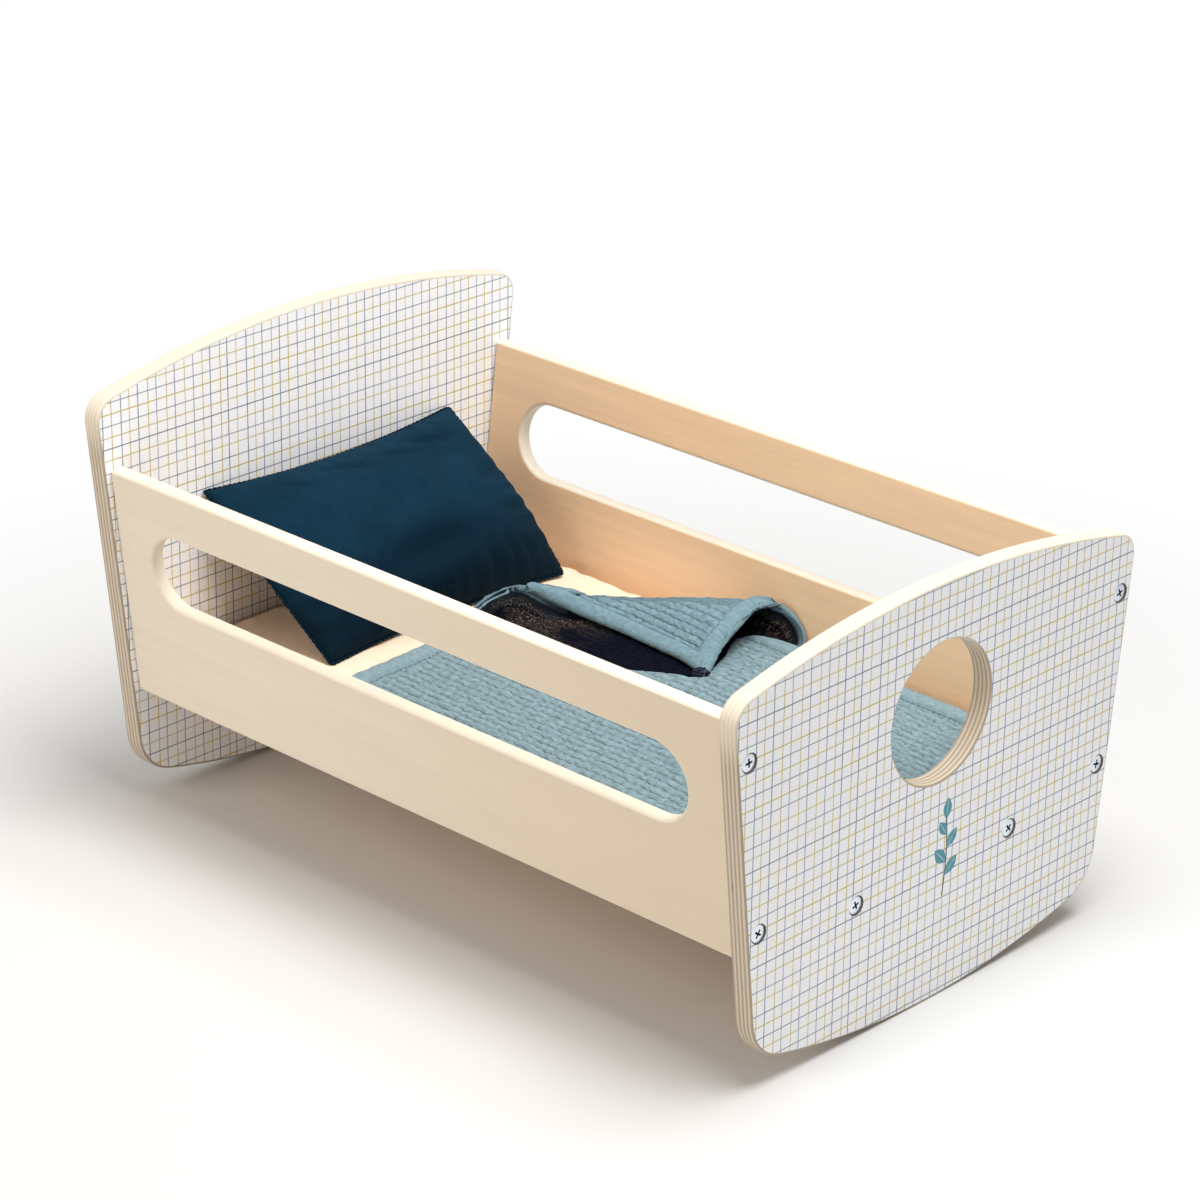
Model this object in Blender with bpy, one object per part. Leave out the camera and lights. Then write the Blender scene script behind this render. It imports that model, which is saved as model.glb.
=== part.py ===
"""Doll's rocking cot: plywood end boards, slotted side panels and a base, with its bedding."""

import math

import bmesh
import bpy
from mathutils import Matrix, Vector

# Driving dimensions, in metres. X runs across the cot, Y from the foot to the head, and Z up.
# The origin is on the floor under the cot's middle.
COT_LENGTH = 0.490
FIT_GAP = 0.0003
CUT_OVERRUN = 0.004
CUT_SNAP = 0.000003

# End boards
END_THICKNESS = 0.012
END_FLOOR_HALF_WIDTH = 0.1388
SIDE_TAPER = math.radians(6.3)
FOOT_HEIGHT = 0.2440
HEAD_HEIGHT = 0.2760
ROCKER_RADIUS = 0.505
CROWN_RADIUS = 0.650
ROCKER_CORNER_RADIUS = 0.030
CROWN_CORNER_RADIUS = 0.015
END_EDGE_ROUNDING = 0.0015
WINDOW_RADIUS = 0.040
WINDOW_HEIGHT = 0.1698

# Side panels
SIDE_THICKNESS = 0.0095
SIDE_INSET = 0.0041
SIDE_BOTTOM = 0.0732
SIDE_HEIGHT = 0.1420
SIDE_EDGE_ROUNDING = 0.0020
SLOT_HEIGHT = 0.046
SLOT_CENTRE_RISE = 0.0893
SLOT_END_MARGIN = 0.0280

# Base board
BASE_THICKNESS = 0.0095
BASE_RISE = 0.0022
BASE_SCREW_SPACING = 0.127

# Screws
SCREW_LENGTH = 0.040
SCREW_RADIUS = 0.0025
SCREW_HEAD_RADIUS = 0.0050
SCREW_HEAD_RIM = 0.0004
SCREW_HEAD_DOME = 0.0002
SCREW_HEAD_SINK = 0.0003
SCREW_POINT_LENGTH = 0.006
SCREW_LOWER_RISE = 0.0192
SCREW_UPPER_DROP = 0.0228
RECESS_RADIUS = 0.0026
RECESS_ARM_WIDTH = 0.0011
RECESS_DEPTH = 0.0022
RECESS_FLOOR_SHARE = 0.35

# Mattress
MATTRESS_CLEARANCE = 0.0012
MATTRESS_EDGE_THICKNESS = 0.0100
MATTRESS_CROWN = 0.0050
MATTRESS_EDGE_ROUND = 0.0050
MATTRESS_DRAWN_IN = 0.0012
MATTRESS_CORNER_PULL = 0.0030
MATTRESS_SEAM_SHARE = 0.55

# Pillow
PILLOW_WIDTH = 0.198
PILLOW_DEPTH = 0.127
PILLOW_FRONT_SWELL = 0.0220
PILLOW_BACK_SWELL = 0.0120
PILLOW_FRONT_FULLNESS_SHARE = 0.52
PILLOW_BACK_FULLNESS_SHARE = 0.75
PILLOW_SIDES_DRAWN_IN = 0.0015
PILLOW_ENDS_DRAWN_IN = 0.0060
PILLOW_LEAN = math.radians(41.4)
PILLOW_OFFSET = 0.0085
PILLOW_REST_GAP = 0.0004

# Blanket
BLANKET_THICKNESS = 0.0026
BLANKET_REST_GAP = 0.0007
BLANKET_FOOT_MARGIN = 0.0030
BLANKET_SIDE_MARGIN = 0.0020
BLANKET_HEAD_MARGIN = 0.1080
FOLD_HEAD_INSET = 0.0880
FOLD_HEAD_DROP = 0.0180
FOLD_FOOT_INSET = 0.0090
FOLD_FOOT_DROP = 0.1340
FOLD_HEAD_RISE = 0.0195
FOLD_FOOT_RISE = 0.0235
FLAP_TIP_INSET = 0.0670
FLAP_TIP_DROP = 0.1520

# Facet counts
ROCKER_STEPS = 24
CROWN_STEPS = 24
CORNER_STEPS = 7
WINDOW_STEPS = 40
SLOT_END_STEPS = 12
ROUNDING_SEGMENTS = 2
SCREW_STEPS = 16
MATTRESS_CELLS = (12, 20)
PILLOW_CELLS = (18, 14)
BLANKET_CELL = 0.024
FOLD_STEPS = 9
SLOPE_ROUNDS = 60
SMOOTH_ANGLE = math.radians(35)
ROUNDED_ANGLE = math.radians(60)

TAPER_SLOPE = math.tan(SIDE_TAPER)
OUTER_FOOT = -COT_LENGTH / 2
OUTER_HEAD = COT_LENGTH / 2
INNER_FOOT = OUTER_FOOT + END_THICKNESS
INNER_HEAD = OUTER_HEAD - END_THICKNESS
BASE_BOTTOM = SIDE_BOTTOM + BASE_RISE
BASE_TOP = BASE_BOTTOM + BASE_THICKNESS
MATTRESS_BOTTOM = BASE_TOP + FIT_GAP


def clear_scene():
    for obj in list(bpy.data.objects):
        bpy.data.objects.remove(obj, do_unlink=True)


def material(name, colour, roughness, metallic=0.0):
    made = bpy.data.materials.new(name)
    made.use_nodes = True
    shader = made.node_tree.nodes["Principled BSDF"]
    shader.inputs["Base Color"].default_value = (*colour, 1.0)
    shader.inputs["Roughness"].default_value = roughness
    shader.inputs["Metallic"].default_value = metallic
    made.diffuse_color = (*colour, 1.0)
    return made


def printed_plywood():
    return material("printed_plywood", (0.78, 0.79, 0.82), 0.45)


def bare_plywood():
    return material("bare_plywood", (0.76, 0.62, 0.43), 0.55)


def zinc():
    return material("zinc", (0.72, 0.75, 0.76), 0.28, 1.0)


def mattress_cotton():
    return material("mattress_cotton", (0.85, 0.62, 0.40), 0.9)


def pillow_cotton():
    return material("pillow_cotton", (0.010, 0.036, 0.062), 0.7)


def blanket_gauze():
    return material("blanket_gauze", (0.20, 0.31, 0.36), 0.95)


def add_object(name, mesh, finish, parent):
    obj = bpy.data.objects.new(name, mesh)
    bpy.context.scene.collection.objects.link(obj)
    obj.parent = parent
    if finish and not mesh.materials:
        mesh.materials.append(finish)
    return obj


def turn_faces_out(bm):
    bmesh.ops.recalc_face_normals(bm, faces=bm.faces)


def mesh_from(name, bm):
    mesh = bpy.data.meshes.new(name)
    bm.to_mesh(mesh)
    bm.free()
    return mesh


def smooth(mesh):
    mesh.shade_smooth()
    mesh.set_sharp_from_angle(angle=SMOOTH_ANGLE)


def flatten_shading(obj):
    """Keeps the flat faces of a board evenly lit beside its rounded edges."""
    smooth(obj.data)
    modifier = obj.modifiers.new("even_flat_faces", "WEIGHTED_NORMAL")
    modifier.keep_sharp = True


def make_cutter(obj):
    obj.hide_render = True
    obj.display_type = "WIRE"


def cut(obj, cutter, name):
    modifier = obj.modifiers.new(name, "BOOLEAN")
    modifier.operation = "DIFFERENCE"
    modifier.solver = "EXACT"
    modifier.object = cutter


def round_edges(obj, radius):
    modifier = obj.modifiers.new("rounded_edges", "BEVEL")
    modifier.width = radius
    modifier.segments = ROUNDING_SEGMENTS
    modifier.limit_method = "ANGLE"
    modifier.angle_limit = ROUNDED_ANGLE


def arc(centre, radius, start, end, steps):
    """Points of a flat arc, both ends included."""
    points = []
    for i in range(steps + 1):
        angle = start + (end - start) * i / steps
        points.append((centre[0] + radius * math.cos(angle), centre[1] + radius * math.sin(angle)))
    return points


def extruded(name, outline, start, depth, place):
    """A closed prism: place(a, b, c) turns outline coordinates a, b and depth c into a point."""
    bm = bmesh.new()
    near = [bm.verts.new(place(a, b, start)) for a, b in outline]
    far = [bm.verts.new(place(a, b, start + depth)) for a, b in outline]
    bm.faces.new(near)
    bm.faces.new(reversed(far))
    for i in range(len(outline)):
        j = (i + 1) % len(outline)
        bm.faces.new((near[i], near[j], far[j], far[i]))
    turn_faces_out(bm)
    return mesh_from(name, bm)


def turned_shell(bm, profile, steps, turn):
    """Adds a closed turned body whose profile of (radius, height) starts and ends on its axis."""
    rings = []
    for radius, height in profile:
        if radius == 0:
            rings.append([bm.verts.new(turn @ Vector((0, 0, height)))])
            continue
        ring = []
        for i in range(steps):
            angle = math.tau * i / steps
            point = Vector((radius * math.cos(angle), radius * math.sin(angle), height))
            ring.append(bm.verts.new(turn @ point))
        rings.append(ring)
    for upper, lower in zip(rings, rings[1:]):
        for i in range(steps):
            j = (i + 1) % steps
            corners = [upper[i % len(upper)], lower[i % len(lower)]]
            corners += [lower[j % len(lower)], upper[j % len(upper)]]
            bm.faces.new(list(dict.fromkeys(corners)))
    turn_faces_out(bm)


# End boards


def corner_centre(arc_centre, arc_radius, corner_radius, lower):
    """Centre of the round that joins the slanted side edge to the rocker (lower) or to the crown."""
    slant = math.sqrt(1 + TAPER_SLOPE**2)
    offset = END_FLOOR_HALF_WIDTH - corner_radius * slant
    reach = arc_radius - corner_radius
    # The centre lies on x = offset + slope * z, at a distance of reach from (0, arc_centre)
    a = 1 + TAPER_SLOPE**2
    b = TAPER_SLOPE * offset - arc_centre
    c = offset**2 + arc_centre**2 - reach**2
    root = math.sqrt(b**2 - a * c)
    z = (-b - root) / a if lower else (-b + root) / a
    return offset + TAPER_SLOPE * z, z


def end_board_outline(height):
    """Closed outline (x, z), from the middle of the rocker round by the right-hand side."""
    crown_centre = height - CROWN_RADIUS
    low = corner_centre(ROCKER_RADIUS, ROCKER_RADIUS, ROCKER_CORNER_RADIUS, True)
    high = corner_centre(crown_centre, CROWN_RADIUS, CROWN_CORNER_RADIUS, False)
    rocker_end = math.atan2(low[1] - ROCKER_RADIUS, low[0])
    crown_start = math.atan2(high[1] - crown_centre, high[0])
    side = -SIDE_TAPER
    right = arc((0, ROCKER_RADIUS), ROCKER_RADIUS, -math.pi / 2, rocker_end, ROCKER_STEPS // 2)
    right += arc(low, ROCKER_CORNER_RADIUS, rocker_end, side, CORNER_STEPS)[1:]
    right += arc(high, CROWN_CORNER_RADIUS, side, crown_start, CORNER_STEPS)
    right += arc((0, crown_centre), CROWN_RADIUS, crown_start, math.pi / 2, CROWN_STEPS // 2)[1:]
    left = [(-x, z) for x, z in reversed(right[1:-1])]
    return right + left


def end_board(name, height, near_face, finish, parent):
    def place(x, z, y):
        return Vector((x, y, z))

    mesh = extruded(name, end_board_outline(height), near_face, END_THICKNESS, place)
    return add_object(name, mesh, finish, parent)


def window_cutter(parent):
    bm = bmesh.new()
    half = END_THICKNESS / 2 + CUT_OVERRUN
    profile = [(0, half), (WINDOW_RADIUS, half), (WINDOW_RADIUS, -half), (0, -half)]
    middle = (OUTER_FOOT + INNER_FOOT) / 2
    turn = Matrix.Translation((0, middle, WINDOW_HEIGHT)) @ Matrix.Rotation(math.pi / 2, 4, "X")
    turned_shell(bm, profile, WINDOW_STEPS, turn)
    cutter = add_object("window_cutter", mesh_from("window_cutter", bm), None, parent)
    make_cutter(cutter)
    return cutter


def headboard(screw_holes, finish, parent):
    board = end_board("headboard", HEAD_HEIGHT, INNER_HEAD, finish, parent)
    round_edges(board, END_EDGE_ROUNDING)
    cut(board, screw_holes, "screw_holes")
    flatten_shading(board)


def footboard(screw_holes, finish, parent):
    board = end_board("footboard", FOOT_HEIGHT, OUTER_FOOT, finish, parent)
    cut(board, window_cutter(parent), "round_window")
    round_edges(board, END_EDGE_ROUNDING)
    cut(board, screw_holes, "screw_holes")
    flatten_shading(board)


# Side panels


def panel_outer_x(z):
    return END_FLOOR_HALF_WIDTH - SIDE_INSET + TAPER_SLOPE * z


def panel_inner_x(z):
    return panel_outer_x(z) - SIDE_THICKNESS / math.cos(SIDE_TAPER)


def panel_place(side):
    """Turns panel coordinates (y, height along the slant, depth inwards) into the cot's frame."""

    def place(y, rise, depth):
        x = panel_outer_x(SIDE_BOTTOM) + rise * math.sin(SIDE_TAPER) - depth * math.cos(SIDE_TAPER)
        z = SIDE_BOTTOM + rise * math.cos(SIDE_TAPER) + depth * math.sin(SIDE_TAPER)
        return Vector((side * x, y, z))

    return place


def slot_cutter(name, side, parent):
    radius = SLOT_HEIGHT / 2
    near = INNER_FOOT + SLOT_END_MARGIN + radius
    far = INNER_HEAD - SLOT_END_MARGIN - radius
    outline = arc((far, SLOT_CENTRE_RISE), radius, -math.pi / 2, math.pi / 2, SLOT_END_STEPS)
    outline += arc((near, SLOT_CENTRE_RISE), radius, math.pi / 2, 3 * math.pi / 2, SLOT_END_STEPS)
    mesh = extruded(name, outline, -CUT_OVERRUN, SIDE_THICKNESS + 2 * CUT_OVERRUN, panel_place(side))
    cutter = add_object(name, mesh, None, parent)
    make_cutter(cutter)
    return cutter


def side_panel(name, side, hole_cutters, finish, parent):
    near = INNER_FOOT + FIT_GAP
    far = INNER_HEAD - FIT_GAP
    outline = [(near, 0), (far, 0), (far, SIDE_HEIGHT), (near, SIDE_HEIGHT)]
    panel = add_object(name, extruded(name, outline, 0, SIDE_THICKNESS, panel_place(side)), finish, parent)
    cut(panel, slot_cutter(name + "_slot_cutter", side, parent), "handle_slot")
    round_edges(panel, SIDE_EDGE_ROUNDING)
    for cutter in hole_cutters:
        cut(panel, cutter, cutter.name)
    flatten_shading(panel)


# Base board


def base_board(hole_cutters, finish, parent):
    low = panel_inner_x(BASE_BOTTOM) - FIT_GAP
    high = panel_inner_x(BASE_TOP) - FIT_GAP
    outline = [(-low, BASE_BOTTOM), (low, BASE_BOTTOM), (high, BASE_TOP), (-high, BASE_TOP)]
    depth = INNER_HEAD - INNER_FOOT - 2 * FIT_GAP

    def place(x, z, y):
        return Vector((x, y, z))

    mesh = extruded("base_board", outline, INNER_FOOT + FIT_GAP, depth, place)
    board = add_object("base_board", mesh, finish, parent)
    for cutter in hole_cutters:
        cut(board, cutter, cutter.name)


# Screws


def screw_places():
    """Name, x and z of the six screws of one end board."""
    middle = BASE_BOTTOM + BASE_THICKNESS / 2
    top = SIDE_BOTTOM + SIDE_HEIGHT * math.cos(SIDE_TAPER)
    places = []
    for word, side in (("left", -1), ("right", 1)):
        for level, z in (("upper", top - SCREW_UPPER_DROP), ("lower", SIDE_BOTTOM + SCREW_LOWER_RISE)):
            x = (panel_outer_x(z) + panel_inner_x(z)) / 2
            places.append((word + "_" + level, side * x, z))
        places.append((word + "_base", side * BASE_SCREW_SPACING / 2, middle))
    return places


def screw_profile(grown):
    """Outline of a screw down from its head, grown by a clearance for its hole."""
    rim = SCREW_HEAD_RADIUS + grown
    neck = SCREW_RADIUS + grown
    top = SCREW_HEAD_DOME
    under_rim = -SCREW_HEAD_RIM
    under_cone = under_rim - (rim - neck)
    tip = -SCREW_LENGTH - grown
    if grown:
        top = SCREW_HEAD_SINK + CUT_OVERRUN
    return [(0, top), (rim, top if grown else 0), (rim, under_rim), (neck, under_cone),
            (neck, tip + SCREW_POINT_LENGTH), (0, tip)]


def screw_turn(end, x, z):
    """Matrix that sets a screw's head in the outer face of an end board, with its length inwards."""
    side = -1 if end == "foot" else 1
    y = side * (OUTER_HEAD - SCREW_HEAD_SINK)
    return Matrix.Translation((x, y, z)) @ Matrix.Rotation(-side * math.pi / 2, 4, "X")


def screw_hole_cutter(end, parent):
    bm = bmesh.new()
    for _, x, z in screw_places():
        turned_shell(bm, screw_profile(FIT_GAP), SCREW_STEPS, screw_turn(end, x, z))
    cutter = add_object(end + "_screw_holes", mesh_from(end + "_screw_holes", bm), None, parent)
    make_cutter(cutter)
    return cutter


def recess_cutter(parent):
    """Tapered cross that is sunk into the screw's head."""
    half = RECESS_ARM_WIDTH / 2
    cross = []
    for turn in range(4):
        cos, sin = round(math.cos(turn * math.pi / 2)), round(math.sin(turn * math.pi / 2))
        for a, b in ((RECESS_RADIUS, -half), (RECESS_RADIUS, half), (half, half)):
            cross.append((a * cos - b * sin, a * sin + b * cos))
    bm = bmesh.new()
    top = SCREW_HEAD_DOME + CUT_OVERRUN
    wide = RECESS_FLOOR_SHARE + (1 - RECESS_FLOOR_SHARE) * (top + RECESS_DEPTH) / RECESS_DEPTH
    narrow = RECESS_FLOOR_SHARE
    upper = [bm.verts.new((x * wide, y * wide, top)) for x, y in cross]
    lower = [bm.verts.new((x * narrow, y * narrow, -RECESS_DEPTH)) for x, y in cross]
    bm.faces.new(upper)
    bm.faces.new(reversed(lower))
    for i in range(len(cross)):
        j = (i + 1) % len(cross)
        bm.faces.new((upper[i], lower[i], lower[j], upper[j]))
    turn_faces_out(bm)
    cutter = add_object("recess_cutter", mesh_from("recess_cutter", bm), None, parent)
    make_cutter(cutter)
    return cutter


def screw_mesh(finish, parent):
    """One screw's mesh with its cross recess, which all the screws share."""
    bm = bmesh.new()
    turned_shell(bm, screw_profile(0), SCREW_STEPS, Matrix.Identity(4))
    blank = add_object("screw_blank", mesh_from("screw_blank", bm), finish, parent)
    cutter = recess_cutter(parent)
    cut(blank, cutter, "cross_recess")
    graph = bpy.context.evaluated_depsgraph_get()
    mesh = bpy.data.meshes.new_from_object(blank.evaluated_get(graph))
    mesh.name = "screw"
    smooth(mesh)
    bpy.data.objects.remove(blank, do_unlink=True)
    bpy.data.objects.remove(cutter, do_unlink=True)
    return mesh


def screws(finish, parent):
    mesh = screw_mesh(finish, parent)
    for end in ("foot", "head"):
        for word, x, z in screw_places():
            screw = add_object("screw_" + end + "_" + word, mesh, finish, parent)
            screw.matrix_world = screw_turn(end, x, z)


# Bedding


def cushion_shell(bm, us, vs, upper, lower):
    """A closed shell of two grids that share their border. us and vs run from -1 to 1."""
    top = [[bm.verts.new(upper(u, v)) for v in vs] for u in us]
    bottom = []
    for i, u in enumerate(us):
        row = []
        for j, v in enumerate(vs):
            on_border = i in (0, len(us) - 1) or j in (0, len(vs) - 1)
            row.append(top[i][j] if on_border else bm.verts.new(lower(u, v)))
        bottom.append(row)
    for i in range(len(us) - 1):
        for j in range(len(vs) - 1):
            bm.faces.new((top[i][j], top[i + 1][j], top[i + 1][j + 1], top[i][j + 1]))
            bm.faces.new((bottom[i][j], bottom[i][j + 1], bottom[i + 1][j + 1], bottom[i + 1][j]))


def mattress_half_width():
    return panel_inner_x(MATTRESS_BOTTOM) - MATTRESS_CLEARANCE


def mattress_half_length():
    return (INNER_HEAD - INNER_FOOT) / 2 - MATTRESS_CLEARANCE


def mattress_crown(x, y):
    """Height of the mattress's top over its bottom, away from its rounded edge."""
    u = min(abs(x) / mattress_half_width(), 1)
    v = min(abs(y) / mattress_half_length(), 1)
    return MATTRESS_EDGE_THICKNESS + MATTRESS_CROWN * (1 - u**4) * (1 - v**4)


def rounded_positions(half, rounding, cells):
    """Grid positions from -1 to 1, close together over the rounded edge."""
    edge = [1, 1 - 0.12 * rounding / half, 1 - 0.45 * rounding / half, 1 - rounding / half]
    inner = [edge[-1] * (1 - 2 * i / cells) for i in range(1, cells)]
    side = sorted(edge)
    return [-e for e in reversed(side)] + sorted(inner) + side


def mattress(finish, parent):
    half_x = mattress_half_width()
    half_y = mattress_half_length()
    seam = MATTRESS_EDGE_THICKNESS * MATTRESS_SEAM_SHARE

    def plan(u, v):
        drawn = MATTRESS_DRAWN_IN * (1 - v**2) + MATTRESS_CORNER_PULL * v**16
        drawn_y = MATTRESS_DRAWN_IN * (1 - u**2) + MATTRESS_CORNER_PULL * u**16
        return u * (half_x - drawn), v * (half_y - drawn_y)

    def fullness(u, v):
        inside = min((1 - abs(u)) * half_x, (1 - abs(v)) * half_y) / MATTRESS_EDGE_ROUND
        return math.sqrt(max(0, 1 - (1 - min(inside, 1)) ** 2))

    def upper(u, v):
        x, y = plan(u, v)
        return Vector((x, y, seam + (mattress_crown(x, y) - seam) * fullness(u, v)))

    def lower(u, v):
        x, y = plan(u, v)
        return Vector((x, y, seam * (1 - fullness(u, v))))

    bm = bmesh.new()
    us = rounded_positions(half_x, MATTRESS_EDGE_ROUND, MATTRESS_CELLS[0])
    vs = rounded_positions(half_y, MATTRESS_EDGE_ROUND, MATTRESS_CELLS[1])
    cushion_shell(bm, us, vs, upper, lower)
    pad = add_object("mattress", mesh_from("mattress", bm), finish, parent)
    pad.location = (0, 0, MATTRESS_BOTTOM)
    smooth(pad.data)


def pillow(finish, parent):
    half_x = PILLOW_WIDTH / 2
    half_y = PILLOW_DEPTH / 2

    def plan(u, v):
        x = u * (half_x - PILLOW_SIDES_DRAWN_IN * (1 - v**2) * u**2)
        y = v * (half_y - PILLOW_ENDS_DRAWN_IN * (1 - u**2) * v**2)
        return x, y

    def swell(u, v, fullness):
        return ((1 - u**2) * (1 - v**2)) ** fullness

    def upper(u, v):
        return Vector((*plan(u, v), PILLOW_FRONT_SWELL * swell(u, v, PILLOW_FRONT_FULLNESS_SHARE)))

    def lower(u, v):
        return Vector((*plan(u, v), -PILLOW_BACK_SWELL * swell(u, v, PILLOW_BACK_FULLNESS_SHARE)))

    def positions(cells):
        return [math.sin(math.pi / 2 * (2 * i / cells - 1)) for i in range(cells + 1)]

    bm = bmesh.new()
    cushion_shell(bm, positions(PILLOW_CELLS[0]), positions(PILLOW_CELLS[1]), upper, lower)
    body = add_object("pillow", mesh_from("pillow", bm), finish, parent)
    rise = half_y * math.sin(PILLOW_LEAN)
    run = half_y * math.cos(PILLOW_LEAN)
    y = INNER_HEAD - PILLOW_REST_GAP - run
    seat = mattress_crown(half_x - abs(PILLOW_OFFSET), y - run)
    body.location = (PILLOW_OFFSET, y, MATTRESS_BOTTOM + seat + PILLOW_REST_GAP + rise)
    body.rotation_euler = (PILLOW_LEAN, 0, 0)
    smooth(body.data)


class CornerFold:
    """The blanket's turned-back corner: a fold line, a roll along it, and the flap that comes down."""

    def __init__(self):
        right = mattress_half_width() - BLANKET_SIDE_MARGIN
        hem = INNER_HEAD - BLANKET_HEAD_MARGIN
        self.start = Vector((right - FOLD_HEAD_INSET, hem - FOLD_HEAD_DROP))
        self.end = Vector((right - FOLD_FOOT_INSET, hem - FOLD_FOOT_DROP))
        self.length = (self.end - self.start).length
        self.along = (self.end - self.start) / self.length
        self.normal = Vector((-self.along.y, self.along.x))
        tip = Vector((right - FLAP_TIP_INSET, hem - FLAP_TIP_DROP)) - self.start
        self.tip_along = tip.dot(self.along)
        reach = -tip.dot(self.normal)
        radius = self.radius(self.tip_along)
        rest = 2 * (BLANKET_THICKNESS + FIT_GAP)
        self.slope = self.flap_slope(radius, reach, rest)
        straight = (reach - radius * math.sin(self.slope)) / math.cos(self.slope)
        self.flap_length = radius * (math.pi + self.slope) + straight

    def radius(self, distance_along):
        """Radius of the roll, which widens from its head end to its foot end."""
        share = min(max(distance_along / self.length, 0), 1)
        return (FOLD_HEAD_RISE + (FOLD_FOOT_RISE - FOLD_HEAD_RISE) * share) / 2

    def flap_slope(self, radius, reach, rest):
        """Slope that brings the flap's tip down from the roll to rest on the blanket under it."""
        slope = 0.0
        for _ in range(SLOPE_ROUNDS):
            fall = radius * (1 + math.cos(slope)) - rest
            run = reach - radius * math.sin(slope)
            slope = (slope + math.atan2(fall, run)) / 2
        return slope

    def flat_corner(self):
        """Where the flap's tip lies when the blanket is spread flat."""
        return self.start + self.along * self.tip_along + self.normal * self.flap_length

    def beyond(self, flat):
        return (flat - self.start).dot(self.normal)

    def bent(self, flat):
        """Place of a point of the flat blanket once its corner is turned back."""
        distance_along = (flat - self.start).dot(self.along)
        distance = self.beyond(flat)
        if distance <= 0:
            return Vector((flat.x, flat.y, mattress_crown(flat.x, flat.y)))
        radius = self.radius(distance_along)
        turn = min(distance / radius, math.pi + self.slope)
        straight = max(distance - radius * (math.pi + self.slope), 0)
        across = radius * math.sin(turn) - straight * math.cos(self.slope)
        rise = radius * (1 - math.cos(turn)) - straight * math.sin(self.slope)
        foot = self.start + self.along * distance_along
        point = foot + self.normal * across
        return Vector((point.x, point.y, mattress_crown(foot.x, foot.y) + rise))


def slice_faces(bm, faces, point, direction):
    edges = {edge for face in faces for edge in face.edges}
    corners = {vert for face in faces for vert in face.verts}
    geometry = [*faces, *edges, *corners]
    bmesh.ops.bisect_plane(bm, geom=geometry, plane_co=(*point, 0), plane_no=(*direction, 0), dist=CUT_SNAP)


def flat_blanket(fold):
    """The blanket spread flat, cut into cells that can follow the mattress and the fold."""
    left = -mattress_half_width() + BLANKET_SIDE_MARGIN
    right = mattress_half_width() - BLANKET_SIDE_MARGIN
    foot = INNER_FOOT + BLANKET_FOOT_MARGIN
    hem = INNER_HEAD - BLANKET_HEAD_MARGIN
    outline = [(left, foot), (right, foot), fold.end, fold.flat_corner(), fold.start,
               (fold.start.x - FOLD_HEAD_DROP, hem), (left, hem)]
    bm = bmesh.new()
    bm.faces.new([bm.verts.new((*point, 0)) for point in outline])
    slice_faces(bm, list(bm.faces), fold.start, fold.normal)
    columns = round((right - left) / BLANKET_CELL)
    rows = round((hem - foot) / BLANKET_CELL)
    cuts = [((left + (right - left) * i / columns, foot), (1, 0)) for i in range(1, columns)]
    cuts += [((left, foot + (hem - foot) * i / rows), (0, 1)) for i in range(1, rows)]
    for point, direction in cuts:
        faces = [face for face in bm.faces if fold.beyond(face.calc_center_median().xy) < 0]
        slice_faces(bm, faces, point, direction)
    for i in range(1, FOLD_STEPS + 1):
        turn = (math.pi + fold.slope) * i / FOLD_STEPS
        near = fold.start + fold.normal * fold.radius(0) * turn
        far = fold.end + fold.normal * fold.radius(fold.length) * turn
        across = (far - near).normalized()
        faces = [face for face in bm.faces if fold.beyond(face.calc_center_median().xy) > 0]
        slice_faces(bm, faces, near, (-across.y, across.x))
    bmesh.ops.triangulate(bm, faces=bm.faces)
    return bm


def blanket(finish, parent):
    fold = CornerFold()
    bm = flat_blanket(fold)
    for vert in bm.verts:
        vert.co = fold.bent(vert.co.xy)
    sheet = add_object("blanket", mesh_from("blanket", bm), finish, parent)
    sheet.location = (0, 0, MATTRESS_BOTTOM + BLANKET_REST_GAP)
    thickness = sheet.modifiers.new("gauze_thickness", "SOLIDIFY")
    thickness.thickness = BLANKET_THICKNESS
    thickness.offset = 1
    smooth(sheet.data)


def main():
    clear_scene()
    cot = bpy.data.objects.new("doll_cot", None)
    bpy.context.scene.collection.objects.link(cot)
    printed, bare, steel = printed_plywood(), bare_plywood(), zinc()
    foot_holes = screw_hole_cutter("foot", cot)
    head_holes = screw_hole_cutter("head", cot)
    headboard(head_holes, printed, cot)
    footboard(foot_holes, printed, cot)
    side_panel("side_panel_left", -1, (foot_holes, head_holes), bare, cot)
    side_panel("side_panel_right", 1, (foot_holes, head_holes), bare, cot)
    base_board((foot_holes, head_holes), bare, cot)
    screws(steel, cot)
    mattress(mattress_cotton(), cot)
    pillow(pillow_cotton(), cot)
    blanket(blanket_gauze(), cot)


main()
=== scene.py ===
"""Doll's rocking cot: printed plywood ends, slotted sides, zinc screws and bedding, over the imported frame."""

import math

import bpy
import numpy as np
from bpy.props import FloatProperty, FloatVectorProperty, IntProperty, PointerProperty
from mathutils import Matrix, Vector


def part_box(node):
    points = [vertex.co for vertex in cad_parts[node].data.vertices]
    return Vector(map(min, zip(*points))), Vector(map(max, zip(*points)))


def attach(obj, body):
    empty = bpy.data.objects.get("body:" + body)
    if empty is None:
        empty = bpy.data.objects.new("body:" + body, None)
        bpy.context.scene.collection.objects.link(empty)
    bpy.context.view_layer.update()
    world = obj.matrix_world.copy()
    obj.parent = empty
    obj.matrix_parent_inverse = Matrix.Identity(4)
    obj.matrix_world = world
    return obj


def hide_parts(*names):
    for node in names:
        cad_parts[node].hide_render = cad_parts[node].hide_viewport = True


bl_info = {
    "name": "Doll's cot",
    "version": (1, 0, 0),
    "blender": (4, 5, 0),
    "location": "3D View > Sidebar > Cot",
    "description": "Models a doll's rocking cot with its mattress, pillow and blanket",
    "category": "Add Mesh",
}

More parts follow.
